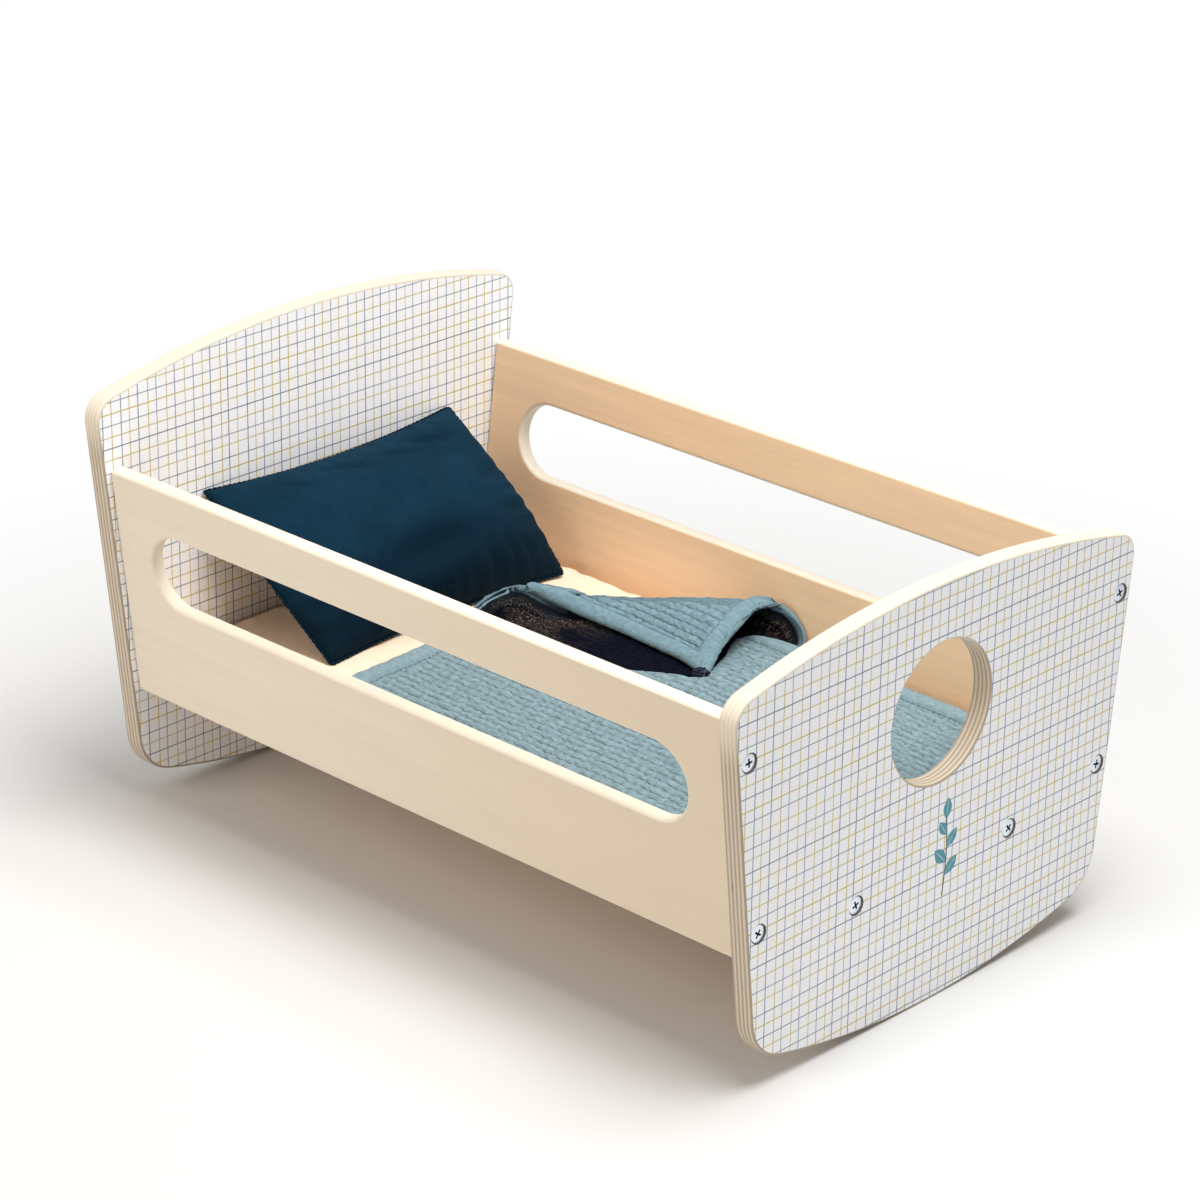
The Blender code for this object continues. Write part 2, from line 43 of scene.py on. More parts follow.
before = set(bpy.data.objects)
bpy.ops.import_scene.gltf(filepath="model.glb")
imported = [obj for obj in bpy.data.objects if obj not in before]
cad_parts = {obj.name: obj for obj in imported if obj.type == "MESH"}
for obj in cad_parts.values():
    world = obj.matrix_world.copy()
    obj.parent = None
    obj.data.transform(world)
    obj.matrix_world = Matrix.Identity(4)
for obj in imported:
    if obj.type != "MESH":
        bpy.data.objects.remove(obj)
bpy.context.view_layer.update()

FOOT_LOW, FOOT_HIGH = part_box("footboard")
HEAD_LOW, HEAD_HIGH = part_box("headboard")
BASE_LOW, BASE_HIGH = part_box("base_board")
PAD_LOW, PAD_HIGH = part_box("mattress")
CUSHION_LOW, CUSHION_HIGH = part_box("pillow")
SCREWS = sorted(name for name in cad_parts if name.startswith("screw_"))
INNER_FOOT = FOOT_HIGH.y
INNER_HEAD = HEAD_LOW.y

# Share of a face's normal along a direction from which the face counts as facing it
FACING = 0.98


# Settings


class CotBoards(bpy.types.PropertyGroup):
    floor_half_width: FloatProperty(
        name="Half width at the floor", default=0.1388, unit="LENGTH",
        description="Where an end board's slanted side edge would meet the floor")
    taper: FloatProperty(
        name="Side slant", default=math.radians(6.3), subtype="ANGLE",
        description="Lean of the end boards' side edges and of the side panels")
    rocker_radius: FloatProperty(
        name="Rocker radius", default=0.505, unit="LENGTH", description="Radius of the rockers' arc")
    crown_radius: FloatProperty(
        name="Crown radius", default=0.650, unit="LENGTH", description="Radius of the arched top edges")
    rocker_corner: FloatProperty(
        name="Rocker corner", default=0.030, unit="LENGTH", description="Radius of the lower corners")
    crown_corner: FloatProperty(
        name="Crown corner", default=0.015, unit="LENGTH", description="Radius of the upper corners")
    end_rounding: FloatProperty(
        name="End board rounding", default=0.0016, unit="LENGTH", description="Round along the end boards' rims")
    window_radius: FloatProperty(
        name="Window radius", default=0.040, unit="LENGTH", description="Radius of the footboard's window")
    window_height: FloatProperty(
        name="Window height", default=0.1698, unit="LENGTH", description="Height of the window's middle")
    panel_thickness: FloatProperty(
        name="Panel thickness", default=0.0095, unit="LENGTH", description="Thickness of the side panels")
    panel_inset: FloatProperty(
        name="Panel inset", default=0.0041, unit="LENGTH",
        description="How far the panels stand in from the end boards' side edges")
    panel_height: FloatProperty(
        name="Panel height", default=0.1420, unit="LENGTH", description="Height of a panel along its slant")
    panel_rounding: FloatProperty(
        name="Panel rounding", default=0.0024, unit="LENGTH", description="Round along the panels' edges")
    slot_height: FloatProperty(
        name="Slot height", default=0.046, unit="LENGTH", description="Height of the handle slots")
    slot_rise: FloatProperty(
        name="Slot rise", default=0.0893, unit="LENGTH", description="Rise of the slot's middle up the panel")
    slot_margin: FloatProperty(
        name="Slot margin", default=0.0280, unit="LENGTH", description="Wood left at each end of a slot")
    ply_count: IntProperty(name="Plies", default=9, description="Layers of veneer in an end board")
    cream: FloatVectorProperty(
        name="Birch", default=(0.83, 0.73, 0.59), size=3, subtype="COLOR", description="Colour of the bare wood")
    # Painted light: a warmer copy of the birch for the panels' inner faces and the base board, standing in for light
    # bounced off the mattress
    bounce_warmed: FloatVectorProperty(
        name="Bounce-warmed birch", default=(0.93, 0.65, 0.41), size=3, subtype="COLOR",
        description="Colour of the panels' inner faces")
    edge_ply: FloatVectorProperty(
        name="Long ply", default=(0.64, 0.55, 0.43), size=3, subtype="COLOR",
        description="Colour of the plies that run up, as their edges show them")
    glue_line: FloatVectorProperty(
        name="Cross ply", default=(0.36, 0.28, 0.20), size=3, subtype="COLOR",
        description="Colour of the plies that run across")


class CotPrint(bpy.types.PropertyGroup):
    ground: FloatVectorProperty(
        name="Ground", default=(0.88, 0.885, 0.90), size=3, subtype="COLOR", description="Ground of the print")
    yellow: FloatVectorProperty(
        name="Yellow line", default=(0.54, 0.41, 0.032), size=3, subtype="COLOR", description="Yellow lines")
    blue: FloatVectorProperty(
        name="Blue line", default=(0.14, 0.19, 0.27), size=3, subtype="COLOR", description="Blue lines")
    leaf: FloatVectorProperty(
        name="Leaf", default=(0.055, 0.27, 0.33), size=3, subtype="COLOR", description="Leaves of the small sprig")
    stem: FloatVectorProperty(
        name="Stem", default=(0.03, 0.04, 0.05), size=3, subtype="COLOR", description="Stem of the small sprig")
    pitch_across: FloatProperty(
        name="Pitch across", default=0.00671, unit="LENGTH", precision=5, description="Space of the upright lines")
    pitch_up: FloatProperty(
        name="Pitch up", default=0.00703, unit="LENGTH", precision=5, description="Space of the level lines")
    line_width: FloatProperty(
        name="Line width", default=0.00064, unit="LENGTH", precision=5, description="Width of a printed line")
    unevenness: FloatProperty(
        name="Unevenness", default=0.0007, unit="LENGTH", precision=5,
        description="How far a line strays from the even grid")


class CotBedding(bpy.types.PropertyGroup):
    mattress: FloatVectorProperty(
        name="Mattress", default=(0.98, 0.79, 0.61), size=3, subtype="COLOR", description="Mattress cotton")
    pillow: FloatVectorProperty(
        name="Pillow", default=(0.0040, 0.029, 0.056), size=3, subtype="COLOR", description="Pillow cotton")
    gauze: FloatVectorProperty(
        name="Gauze", default=(0.19, 0.30, 0.35), size=3, subtype="COLOR", description="Light side of the blanket")
    gauze_back: FloatVectorProperty(
        name="Gauze back", default=(0.0045, 0.0055, 0.012), size=3, subtype="COLOR",
        description="Dark side of the blanket")
    fleck: FloatVectorProperty(
        name="Fleck", default=(0.19, 0.140, 0.095), size=3, subtype="COLOR", description="Flecks of the dark side")
    ply_thickness: FloatProperty(
        name="Ply thickness", default=0.0012, unit="LENGTH", precision=5, description="Thickness of one ply")
    hem_thickness: FloatProperty(
        name="Hem thickness", default=0.0042, unit="LENGTH", precision=5, description="Thickness of a sewn hem")
    hem_width: FloatProperty(
        name="Hem width", default=0.0125, unit="LENGTH", precision=5, description="Edge to stitches of a hem")
    rib_pitch: FloatProperty(
        name="Rib pitch", default=0.0058, unit="LENGTH", precision=5, description="Space of the gauze's ribs")


class CotStage(bpy.types.PropertyGroup):
    camera_place: FloatVectorProperty(
        name="Camera", default=(-1.4995, -1.4157, 1.0489), size=3, subtype="TRANSLATION", unit="LENGTH",
        description="Place of the camera")
    focal_length: FloatProperty(name="Focal length", default=120.54, description="Focal length in millimetres")
    key_place: FloatVectorProperty(
        name="Key place", default=(0.05, -0.36, 1.50), size=3, subtype="TRANSLATION", unit="LENGTH",
        description="Place of the key light, high over the foot end")
    key_power: FloatProperty(name="Key light", default=24.0, description="Power of the key light in watts")
    fill_place: FloatVectorProperty(
        name="Fill place", default=(-1.55, 0.55, 1.00), size=3, subtype="TRANSLATION", unit="LENGTH",
        description="Place of the fill light, on the cot's left")
    fill_power: FloatProperty(name="Fill light", default=10.3, description="Power of the fill light in watts")
    fill_colour: FloatVectorProperty(
        name="Fill colour", default=(1.0, 0.90, 0.77), size=3, subtype="COLOR", description="Colour of the fill light")
    sky: FloatProperty(name="Sky", default=0.42, description="Strength of the even light from all around")


GROUPS = {"cot_boards": CotBoards, "cot_print": CotPrint, "cot_bedding": CotBedding, "cot_stage": CotStage}


# Shader maths


class Value:
    """A shader socket that takes part in Python arithmetic."""

    def __init__(self, paint, socket):
        self.paint = paint
        self.socket = socket

    def math(self, operation, *others):
        return self.paint.node("ShaderNodeMath", {"operation": operation}, {
            i: value for i, value in enumerate((self, *others))})

    def __add__(self, other):
        return self.math("ADD", other)

    def __sub__(self, other):
        return self.math("SUBTRACT", other)

    def __mul__(self, other):
        return self.math("MULTIPLY", other)

    def __truediv__(self, other):
        return self.math("DIVIDE", other)

    def __radd__(self, other):
        return self + other

    def __rmul__(self, other):
        return self * other

    def __rsub__(self, other):
        return self * -1.0 + other

    def __gt__(self, other):
        return self.math("GREATER_THAN", other)

    def __lt__(self, other):
        return self.math("LESS_THAN", other)

    def __abs__(self):
        return self.math("ABSOLUTE")

    def nearest(self):
        return self.math("ROUND")

    def floor(self):
        return self.math("FLOOR")

    def part(self):
        return self.math("FRACT")

    def wave(self):
        return self.math("SINE")

    def power(self, other):
        return self.math("POWER", other)

    def least(self, other):
        return self.math("MINIMUM", other)

    def most(self, other):
        return self.math("MAXIMUM", other)

    def between(self, low, high):
        """0 below low and 1 above high, and smooth between them; low may be the larger."""
        return self.paint.node("ShaderNodeMapRange", {"interpolation_type": "SMOOTHSTEP", "clamp": True}, {
            "Value": self, "From Min": low, "From Max": high})


# Places of a colour Mix node's sockets, which share their names with its other kinds of sockets
MIX_FIRST, MIX_SECOND, MIX_RESULT = 6, 7, 2


class Paint:
    """A material and the nodes that make up its finish."""

    def __init__(self, name, roughness, metallic=0.0):
        self.material = bpy.data.materials.new(name)
        self.material.use_nodes = True
        self.tree = self.material.node_tree
        self.shader = self.tree.nodes["Principled BSDF"]
        self.shader.inputs["Roughness"].default_value = roughness
        self.shader.inputs["Metallic"].default_value = metallic

    def node(self, kind, settings=None, inputs=None, output=0):
        made = self.tree.nodes.new(kind)
        for key, value in (settings or {}).items():
            setattr(made, key, value)
        for key, value in (inputs or {}).items():
            self.plug(made.inputs[key], value)
        return Value(self, made.outputs[output])

    def plug(self, socket, value):
        if isinstance(value, Value):
            self.tree.links.new(value.socket, socket)
        elif hasattr(value, "__len__") and len(value) == 3 and len(socket.default_value) == 4:
            socket.default_value = (*value, 1.0)
        else:
            socket.default_value = value

    def place(self, scale=(1, 1, 1)):
        """Object coordinates; a small scale stretches a pattern along that axis."""
        spot = self.node("ShaderNodeTexCoord", output="Object")
        if scale == (1, 1, 1):
            return spot
        return self.node("ShaderNodeMapping", {"vector_type": "POINT"}, {"Vector": spot, "Scale": scale})

    def flat(self):
        """Coordinates on the cloth as it was cut, in metres."""
        return self.node("ShaderNodeUVMap", {"uv_map": "UVMap"})

    def fact(self, name):
        """A number that the mesh holds at each point."""
        return self.node("ShaderNodeAttribute", {"attribute_name": name}, output="Fac")

    def split(self, vector):
        made = self.node("ShaderNodeSeparateXYZ", inputs={"Vector": vector})
        return [Value(self, socket) for socket in made.socket.node.outputs]

    def join(self, x, y, z):
        return self.node("ShaderNodeCombineXYZ", inputs={"X": x, "Y": y, "Z": z})

    def noise(self, vector, scale, detail=2.0, roughness=0.5, distortion=0.0):
        return self.node("ShaderNodeTexNoise", {"noise_dimensions": "3D"}, {
            "Vector": vector, "Scale": scale, "Detail": detail, "Roughness": roughness, "Distortion": distortion})

    def chance(self, number):
        """A steady random number from 0 to 1 for each whole number."""
        return self.node("ShaderNodeTexWhiteNoise", {"noise_dimensions": "1D"}, {"W": number})

    def mix(self, share, first, second):
        """A colour from first at share 0 to second at share 1."""
        return self.node("ShaderNodeMix", {"data_type": "RGBA", "clamp_factor": True}, {
            "Factor": share, MIX_FIRST: first, MIX_SECOND: second}, MIX_RESULT)

    def bump(self, height, distance):
        made = self.node("ShaderNodeBump", inputs={"Height": height, "Distance": distance})
        self.tree.links.new(made.socket, self.shader.inputs["Normal"])

    def colour(self, value):
        self.plug(self.shader.inputs["Base Color"], value)

    def rough(self, value):
        self.plug(self.shader.inputs["Roughness"], value)


def toned(colour, *factors):
    """The colour times one factor, or times one for each of its parts."""
    return tuple(part * factor for part, factor in zip(colour, factors * (3 // len(factors))))


def bare_wood(name, colour, deep, along="y", cover=None):
    """Smooth birch veneer whose grain runs along one axis; cover lays more on its colour."""
    paint = Paint(name, roughness=0.52)
    scale = {"y": (1.0, 0.045, 1.0), "x": (0.045, 1.0, 1.0), "z": (1.0, 1.0, 0.045)}[along]
    stretched = paint.place(scale=scale)
    streaks = paint.noise(stretched, 260.0, 5.0, 0.62, 0.25)
    broad = paint.noise(stretched, 42.0, 2.0, 0.5, 0.6)
    pores = paint.noise(stretched, 1500.0, 2.0, 0.5)
    tone = streaks * 0.55 + broad * 0.45
    surface = paint.mix(tone.between(0.34, 0.68), deep, colour)
    if cover:
        surface = cover(paint, surface)
    paint.colour(surface)
    paint.rough(streaks * 0.18 + 0.42)
    paint.bump(streaks * 0.6 + pores * 0.4, 0.00008)
    return paint


def edge_plies(low, thickness, count, light, dark, crown):
    """Plies across Y, light and dark in turn, fading into pale sanded wood on the crown above that height."""

    def show_plies(paint, surface):
        _, y, z = paint.split(paint.place())
        drift = paint.noise(paint.place(scale=(1, 0.2, 1)), 60.0, 2.0) * 0.5 - 0.25
        depth = (y - low) * (count / thickness) + drift * 0.5
        odd = (depth * 0.5).part()
        share = (abs(odd - 0.5) * 2.0).between(0.38, 0.62)
        lines = paint.mix(share * 0.85, light, dark)
        knots = paint.noise(paint.place(scale=(1, 2.2, 0.45)), 95.0, 1.0, 0.4).between(0.74, 0.79)
        lines = paint.mix(knots * share * 0.8, lines, toned(dark, 0.35))
        sanded = z.between(crown - 0.020, crown + 0.004)
        return paint.mix(sanded * 0.74, lines, surface)

    return show_plies


# One line of each kind that the print is counted from, in metres
FIRST_UPRIGHT = -0.13295
FIRST_LEVEL = 0.0454


def printed_paper(name, shift, white):
    """The grid of fine lines on an end board's faces.

    shift is (x, z) of its pattern, and white a factor on the colour of its ground, which above one is painted light.
    Returns the paint, its colour, x and z."""
    look = bpy.context.scene.cot_print
    paint = Paint(name, roughness=0.46)
    spot = paint.place()
    x, _, z = paint.split(spot)
    wobble = paint.noise(spot, 55.0, 2.0) - 0.5

    def ruled(along, start, pitch, seed):
        count = (along - start + wobble * 0.00018) / pitch
        line = count.nearest()
        stray = (paint.chance(line + seed) - 0.5) * (2 * look.unevenness / pitch)
        distance = abs(count - line - stray) * pitch
        strength = paint.chance(line + seed + 50.0) * 0.25 + 0.75
        mask = distance.between(look.line_width * 0.72, look.line_width * 0.36) * strength
        every_other = (line * 0.5).part() * 2.0
        return mask, every_other

    upright, upright_yellow = ruled(x - shift[0], FIRST_UPRIGHT, look.pitch_across, 400.0)
    level, level_yellow = ruled(z - shift[1], FIRST_LEVEL, look.pitch_up, 700.0)
    grain = paint.noise(paint.place(scale=(1, 1, 0.12)), 420.0, 3.0)
    ground = paint.mix(grain * 0.10, toned(look.ground, white), toned(look.ground, white * 0.93))
    ink = paint.mix(upright_yellow, look.blue, look.yellow)
    surface = paint.mix(upright, ground, ink)
    ink = paint.mix(level_yellow, look.blue, look.yellow)
    surface = paint.mix(level, surface, ink)
    return paint, surface, x, z


def sprig_masks(x, z):
    """A small twig with paired leaves: (leaves, stem), each from 0 to 1."""
    bottom, top = 0.060, 0.108
    foot, sway, bend = 0.0075, 0.0022, math.pi * 0.9
    height = (z - bottom) / (top - bottom)
    middle = foot + (height * bend).wave() * sway
    inside = (height > 0.0) * (height < 1.0)
    stem = abs(x - middle).between(0.00062, 0.00034) * inside
    leaves = None
    for rise, side, turn, length in ((0.24, 1, 0.75, 0.0135), (0.40, -1, 0.80, 0.0140), (0.58, 1, 0.85, 0.0125),
                                     (0.74, -1, 0.95, 0.0115), (0.93, 1, 1.50, 0.0130)):
        root_z = bottom + (top - bottom) * rise
        root_x = foot + math.sin(rise * bend) * sway
        along_x, along_z = side * math.cos(turn), math.sin(turn)
        along = ((x - root_x) * along_x + (z - root_z) * along_z) / length
        across = (x - root_x) * -along_z + (z - root_z) * along_x
        width = (along.most(0.0).least(1.0) * math.pi).wave() * (length * 0.27)
        leaf = (abs(across) - width).between(0.00016, -0.00016) * (along > 0.0) * (along < 1.0)
        vein = abs(across).between(0.00030, 0.00016) * (along > 0.12) * (along < 0.86)
        leaf = leaf * (1.0 - vein * 0.55)
        leaves = leaf if leaves is None else leaves.most(leaf)
    return leaves, stem


def zinc_finish():
    paint = Paint("zinc", roughness=0.26, metallic=1.0)
    haze = paint.noise(paint.place(), 900.0, 3.0)
    paint.colour(paint.mix(haze * 0.5, (0.76, 0.81, 0.87), (0.60, 0.66, 0.74)))
    paint.rough(haze * 0.16 + 0.20)
    paint.bump(haze, 0.00003)
    return paint


def cotton(name, colour, shade, weave, wrinkles, roughness, sheen):
    """Plain-woven cotton. weave is the threads' spacing in metres."""
    paint = Paint(name, roughness=roughness)
    paint.shader.inputs["Sheen Weight"].default_value = sheen
    paint.shader.inputs["Specular IOR Level"].default_value = 0.12
    paint.shader.inputs["Sheen Roughness"].default_value = 0.45
    spot = paint.place()
    x, y, _ = paint.split(paint.flat())
    threads = (x * (math.tau / weave)).wave() * (y * (math.tau / weave)).wave()
    cloudy = paint.noise(spot, 30.0, 3.0, 0.55)
    slubs = paint.noise(paint.place(scale=(1.0, 0.12, 0.4)), 700.0, 2.0)
    paint.colour(paint.mix((cloudy * 0.6 + slubs * 0.4).between(0.3, 0.7), shade, colour))
    crease = paint.noise(spot, wrinkles, 3.0, 0.5, 0.8)
    paint.bump(threads * 0.05 + slubs * 0.05 + crease, 0.0008)
    return paint


# Modelling by hand


def deselect():
    if bpy.context.mode != "OBJECT":
        bpy.ops.object.mode_set(mode="OBJECT")
    bpy.ops.object.select_all(action="DESELECT")


def only(obj):
    deselect()
    obj.select_set(True)
    bpy.context.view_layer.objects.active = obj


def named(name):
    obj = bpy.context.object
    obj.name = name
    obj.data.name = name
    bpy.ops.object.transform_apply(location=True, rotation=True, scale=True)
    return obj


def apply_modifier(obj, kind, name, **settings):
    only(obj)
    modifier = obj.modifiers.new(name, kind)
    for key, value in settings.items():
        setattr(modifier, key, value)
    bpy.ops.object.modifier_apply(modifier=modifier.name)


def cut_away(obj, cutter):
    apply_modifier(obj, "BOOLEAN", "cut", operation="DIFFERENCE", solver="EXACT", object=cutter)
    bpy.data.objects.remove(cutter, do_unlink=True)


def round_rims(obj, width, segments=3):
    """Rounds every edge where faces meet at more than 50 degrees."""
    apply_modifier(obj, "BEVEL", "rounding", width=width, segments=segments, limit_method="ANGLE",
                   angle_limit=math.radians(50), use_clamp_overlap=True)


def finish_board(obj):
    """Rounded rims shade smoothly into flat faces."""
    only(obj)
    bpy.ops.object.shade_smooth_by_angle(angle=math.radians(40))
    apply_modifier(obj, "WEIGHTED_NORMAL", "even_faces", keep_sharp=True)


def paint_faces(obj, paints, choose):
    """Gives each face the finish whose number choose(face) returns."""
    obj.data.materials.clear()
    for paint in paints:
        obj.data.materials.append(paint.material)
    for face in obj.data.polygons:
        face.material_index = choose(face)


class Pen:
    """Draws an outline in edit mode, stroke after stroke, from one vertex."""

    def __init__(self, name, start):
        deselect()
        bpy.ops.mesh.primitive_plane_add(size=0.01, location=start)
        self.obj = named(name)
        bpy.ops.object.mode_set(mode="EDIT")
        bpy.ops.mesh.merge(type="CENTER")
        self.at = Vector(start)

    def run(self, point):
        """Draws a straight line to a point."""
        move = Vector(point) - self.at
        bpy.ops.mesh.extrude_vertices_move(TRANSFORM_OT_translate={"value": move})
        self.at = Vector(point)

    def sweep(self, centre, angle, steps, axis=(0, 1, 0)):
        """Draws an arc about a centre, counterclockwise as seen from the foot end."""
        bpy.ops.mesh.spin(steps=steps, angle=angle, center=centre, axis=axis)
        turn = Matrix.Rotation(-angle, 3, axis)
        self.at = Vector(centre) + turn @ (self.at - Vector(centre))

    def fill(self, move):
        """Closes the outline, fills it and gives it its thickness."""
        bpy.ops.mesh.select_all(action="SELECT")
        bpy.ops.mesh.remove_doubles(threshold=0.00001)
        bpy.ops.mesh.edge_face_add()
        bpy.ops.mesh.extrude_region_move(TRANSFORM_OT_translate={"value": move})
        bpy.ops.mesh.select_all(action="SELECT")
        bpy.ops.mesh.normals_make_consistent(inside=False)
        bpy.ops.object.mode_set(mode="OBJECT")
        return self.obj


def corner_centre(arc_centre, arc_radius, corner_radius, lower):
    """Centre of the round between a slanted side edge and the rocker (lower) or the crown."""
    boards = bpy.context.scene.cot_boards
    slope = math.tan(boards.taper)
    offset = boards.floor_half_width - corner_radius * math.sqrt(1 + slope**2)
    reach = arc_radius - corner_radius
    a = 1 + slope**2
    b = slope * offset - arc_centre
    c = offset**2 + arc_centre**2 - reach**2
    root = math.sqrt(b**2 - a * c)
    z = (-b - root) / a if lower else (-b + root) / a
    return offset + slope * z, z


ROCKER_STEPS = 40
CROWN_STEPS = 40
CORNER_STEPS = 14


def end_board(name, low, high):
    """An end board from the middle of its rocker round by the right-hand side."""
    boards = bpy.context.scene.cot_boards
    y = low.y
    crown_middle = high.z - boards.crown_radius
    rocker = (0, y, boards.rocker_radius)
    crown = (0, y, crown_middle)
    low_x, low_z = corner_centre(boards.rocker_radius, boards.rocker_radius, boards.rocker_corner, True)
    high_x, high_z = corner_centre(crown_middle, boards.crown_radius, boards.crown_corner, False)
    rocker_end = math.atan2(low_z - boards.rocker_radius, low_x)
    crown_start = math.atan2(high_z - crown_middle, high_x)
    side = -boards.taper
    reach = boards.rocker_corner
    pen = Pen(name, (0, y, 0))
    pen.sweep(rocker, rocker_end + math.pi / 2, ROCKER_STEPS // 2)
    pen.sweep((low_x, y, low_z), side - rocker_end, CORNER_STEPS)
    pen.run((high_x + boards.crown_corner * math.cos(side), y, high_z + boards.crown_corner * math.sin(side)))
    pen.sweep((high_x, y, high_z), crown_start - side, CORNER_STEPS)
    pen.sweep(crown, math.pi - 2 * crown_start, CROWN_STEPS)
    pen.sweep((-high_x, y, high_z), crown_start - side, CORNER_STEPS)
    pen.run((-low_x - reach * math.cos(side), y, low_z + reach * math.sin(side)))
    pen.sweep((-low_x, y, low_z), side - rocker_end, CORNER_STEPS)
    pen.sweep(rocker, rocker_end + math.pi / 2, ROCKER_STEPS // 2)
    return pen.fill((0, high.y - low.y, 0))


def screw_spot(node):
    """Middle of a screw's head on the board's outer face, and which way it faces along Y."""
    low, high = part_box(node)
    outward = -1 if "foot" in node else 1
    face = FOOT_LOW.y if outward < 0 else HEAD_HIGH.y
    return Vector(((low.x + high.x) / 2, face, (low.z + high.z) / 2)), outward


COUNTERSINK_RADIUS = 0.0057
# The cutter's narrow end, its length, how far its wide end stands out of the face, and its extra width there
COUNTERSINK_POINT = 0.0018
COUNTERSINK_LENGTH = 0.0043
COUNTERSINK_OVERRUN = 0.0006
COUNTERSINK_FLARE = 0.0007


def sink_screws(board, end):
    """Cuts the countersunk seats of one board's screws and the holes behind them."""
    for node in SCREWS:
        if end not in node:
            continue
        spot, outward = screw_spot(node)
        deselect()
        bpy.ops.mesh.primitive_cone_add(
            vertices=40, radius1=COUNTERSINK_POINT, radius2=COUNTERSINK_RADIUS + COUNTERSINK_FLARE,
            depth=COUNTERSINK_LENGTH,
            location=(spot.x, spot.y - outward * (COUNTERSINK_LENGTH / 2 - COUNTERSINK_OVERRUN), spot.z),
            rotation=(outward * -math.pi / 2, 0, 0))
        cut_away(board, named("countersink"))


# Each end board's print: (x, z) of its pattern, and a factor on the colour of its ground; the headboard's factor above
# one is painted light for its inner face, which lies in shade
PRINTS = {"head": ((-0.0021, 0.1527), 1.13), "foot": ((0.0, 0.0), 1.0)}
# How far below a board's top the sanded wood of its crown begins
CROWN_BAND = 0.036


class COT_OT_end_boards(bpy.types.Operator):
    """Model the headboard and the footboard with its round window"""

    bl_idname = "cot.end_boards"
    bl_label = "End boards"

    def execute(self, context):
        boards = context.scene.cot_boards
        look = context.scene.cot_print
        head = end_board("headboard_panel", HEAD_LOW, HEAD_HIGH)
        foot = end_board("footboard_panel", FOOT_LOW, FOOT_HIGH)
        deselect()
        bpy.ops.mesh.primitive_cylinder_add(
            vertices=128, radius=boards.window_radius, depth=0.03, rotation=(math.pi / 2, 0, 0),
            location=(0, (FOOT_LOW.y + FOOT_HIGH.y) / 2, boards.window_height))
        cut_away(foot, named("window"))
        for board, end, low, high in ((head, "head", HEAD_LOW, HEAD_HIGH), (foot, "foot", FOOT_LOW, FOOT_HIGH)):
            round_rims(board, boards.end_rounding)
            sink_screws(board, end)
            finish_board(board)
            paint, surface, x, z = printed_paper(end + "board_print", *PRINTS[end])
            if end == "foot":
                leaves, stem = sprig_masks(x, z)
                outside = paint.split(paint.place())[1] < (low.y + high.y) / 2
                surface = paint.mix(stem * outside, surface, look.stem)
                surface = paint.mix(leaves * outside, surface, look.leaf)
            paint.colour(surface)
            grain = paint.noise(paint.place(scale=(1, 1, 0.06)), 500.0, 3.0)
            paint.bump(grain, 0.00005)
            edges = bare_wood(end + "board_plies", boards.cream, toned(boards.cream, 0.95), "z",
                              edge_plies(low.y, high.y - low.y, boards.ply_count, boards.edge_ply,
                                         boards.glue_line, high.z - CROWN_BAND))
            # Painted shade: the countersinks' seats are dark brown for the shade that falls into them
            seats = Paint(end + "board_seats", roughness=0.85)
            spots = [screw_spot(node)[0] for node in SCREWS if end in node]
            seats.colour(seats.mix(seats.noise(seats.place(), 800.0), (0.07, 0.06, 0.055), (0.14, 0.12, 0.10)))

            def choose(face, spots=spots):
                if abs(face.normal.y) > FACING:
                    return 0
                near = min(math.hypot(face.center.x - spot.x, face.center.z - spot.z) for spot in spots)
                return 2 if near < COUNTERSINK_RADIUS + 0.0008 else 1

            paint_faces(board, (paint, edges, seats), choose)
            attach(board, "cot_frame")
            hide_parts(end + "board")
        return {"FINISHED"}


def foot_end_shade(paint, surface):
    """Painted shade: a deeper tone that grows towards the foot end."""
    _, y, _ = paint.split(paint.place())
    return paint.mix(y.between(0.16, -0.24) * 0.55, surface, (0.70, 0.56, 0.38))


def box_of(obj):
    places = coordinates(obj)
    return Vector(places.min(0)), Vector(places.max(0))


PANEL_BOTTOM = 0.0732
SLOT_STEPS = 32
# How far a made panel's box may differ from its solid's
PANEL_TOLERANCE = 0.003


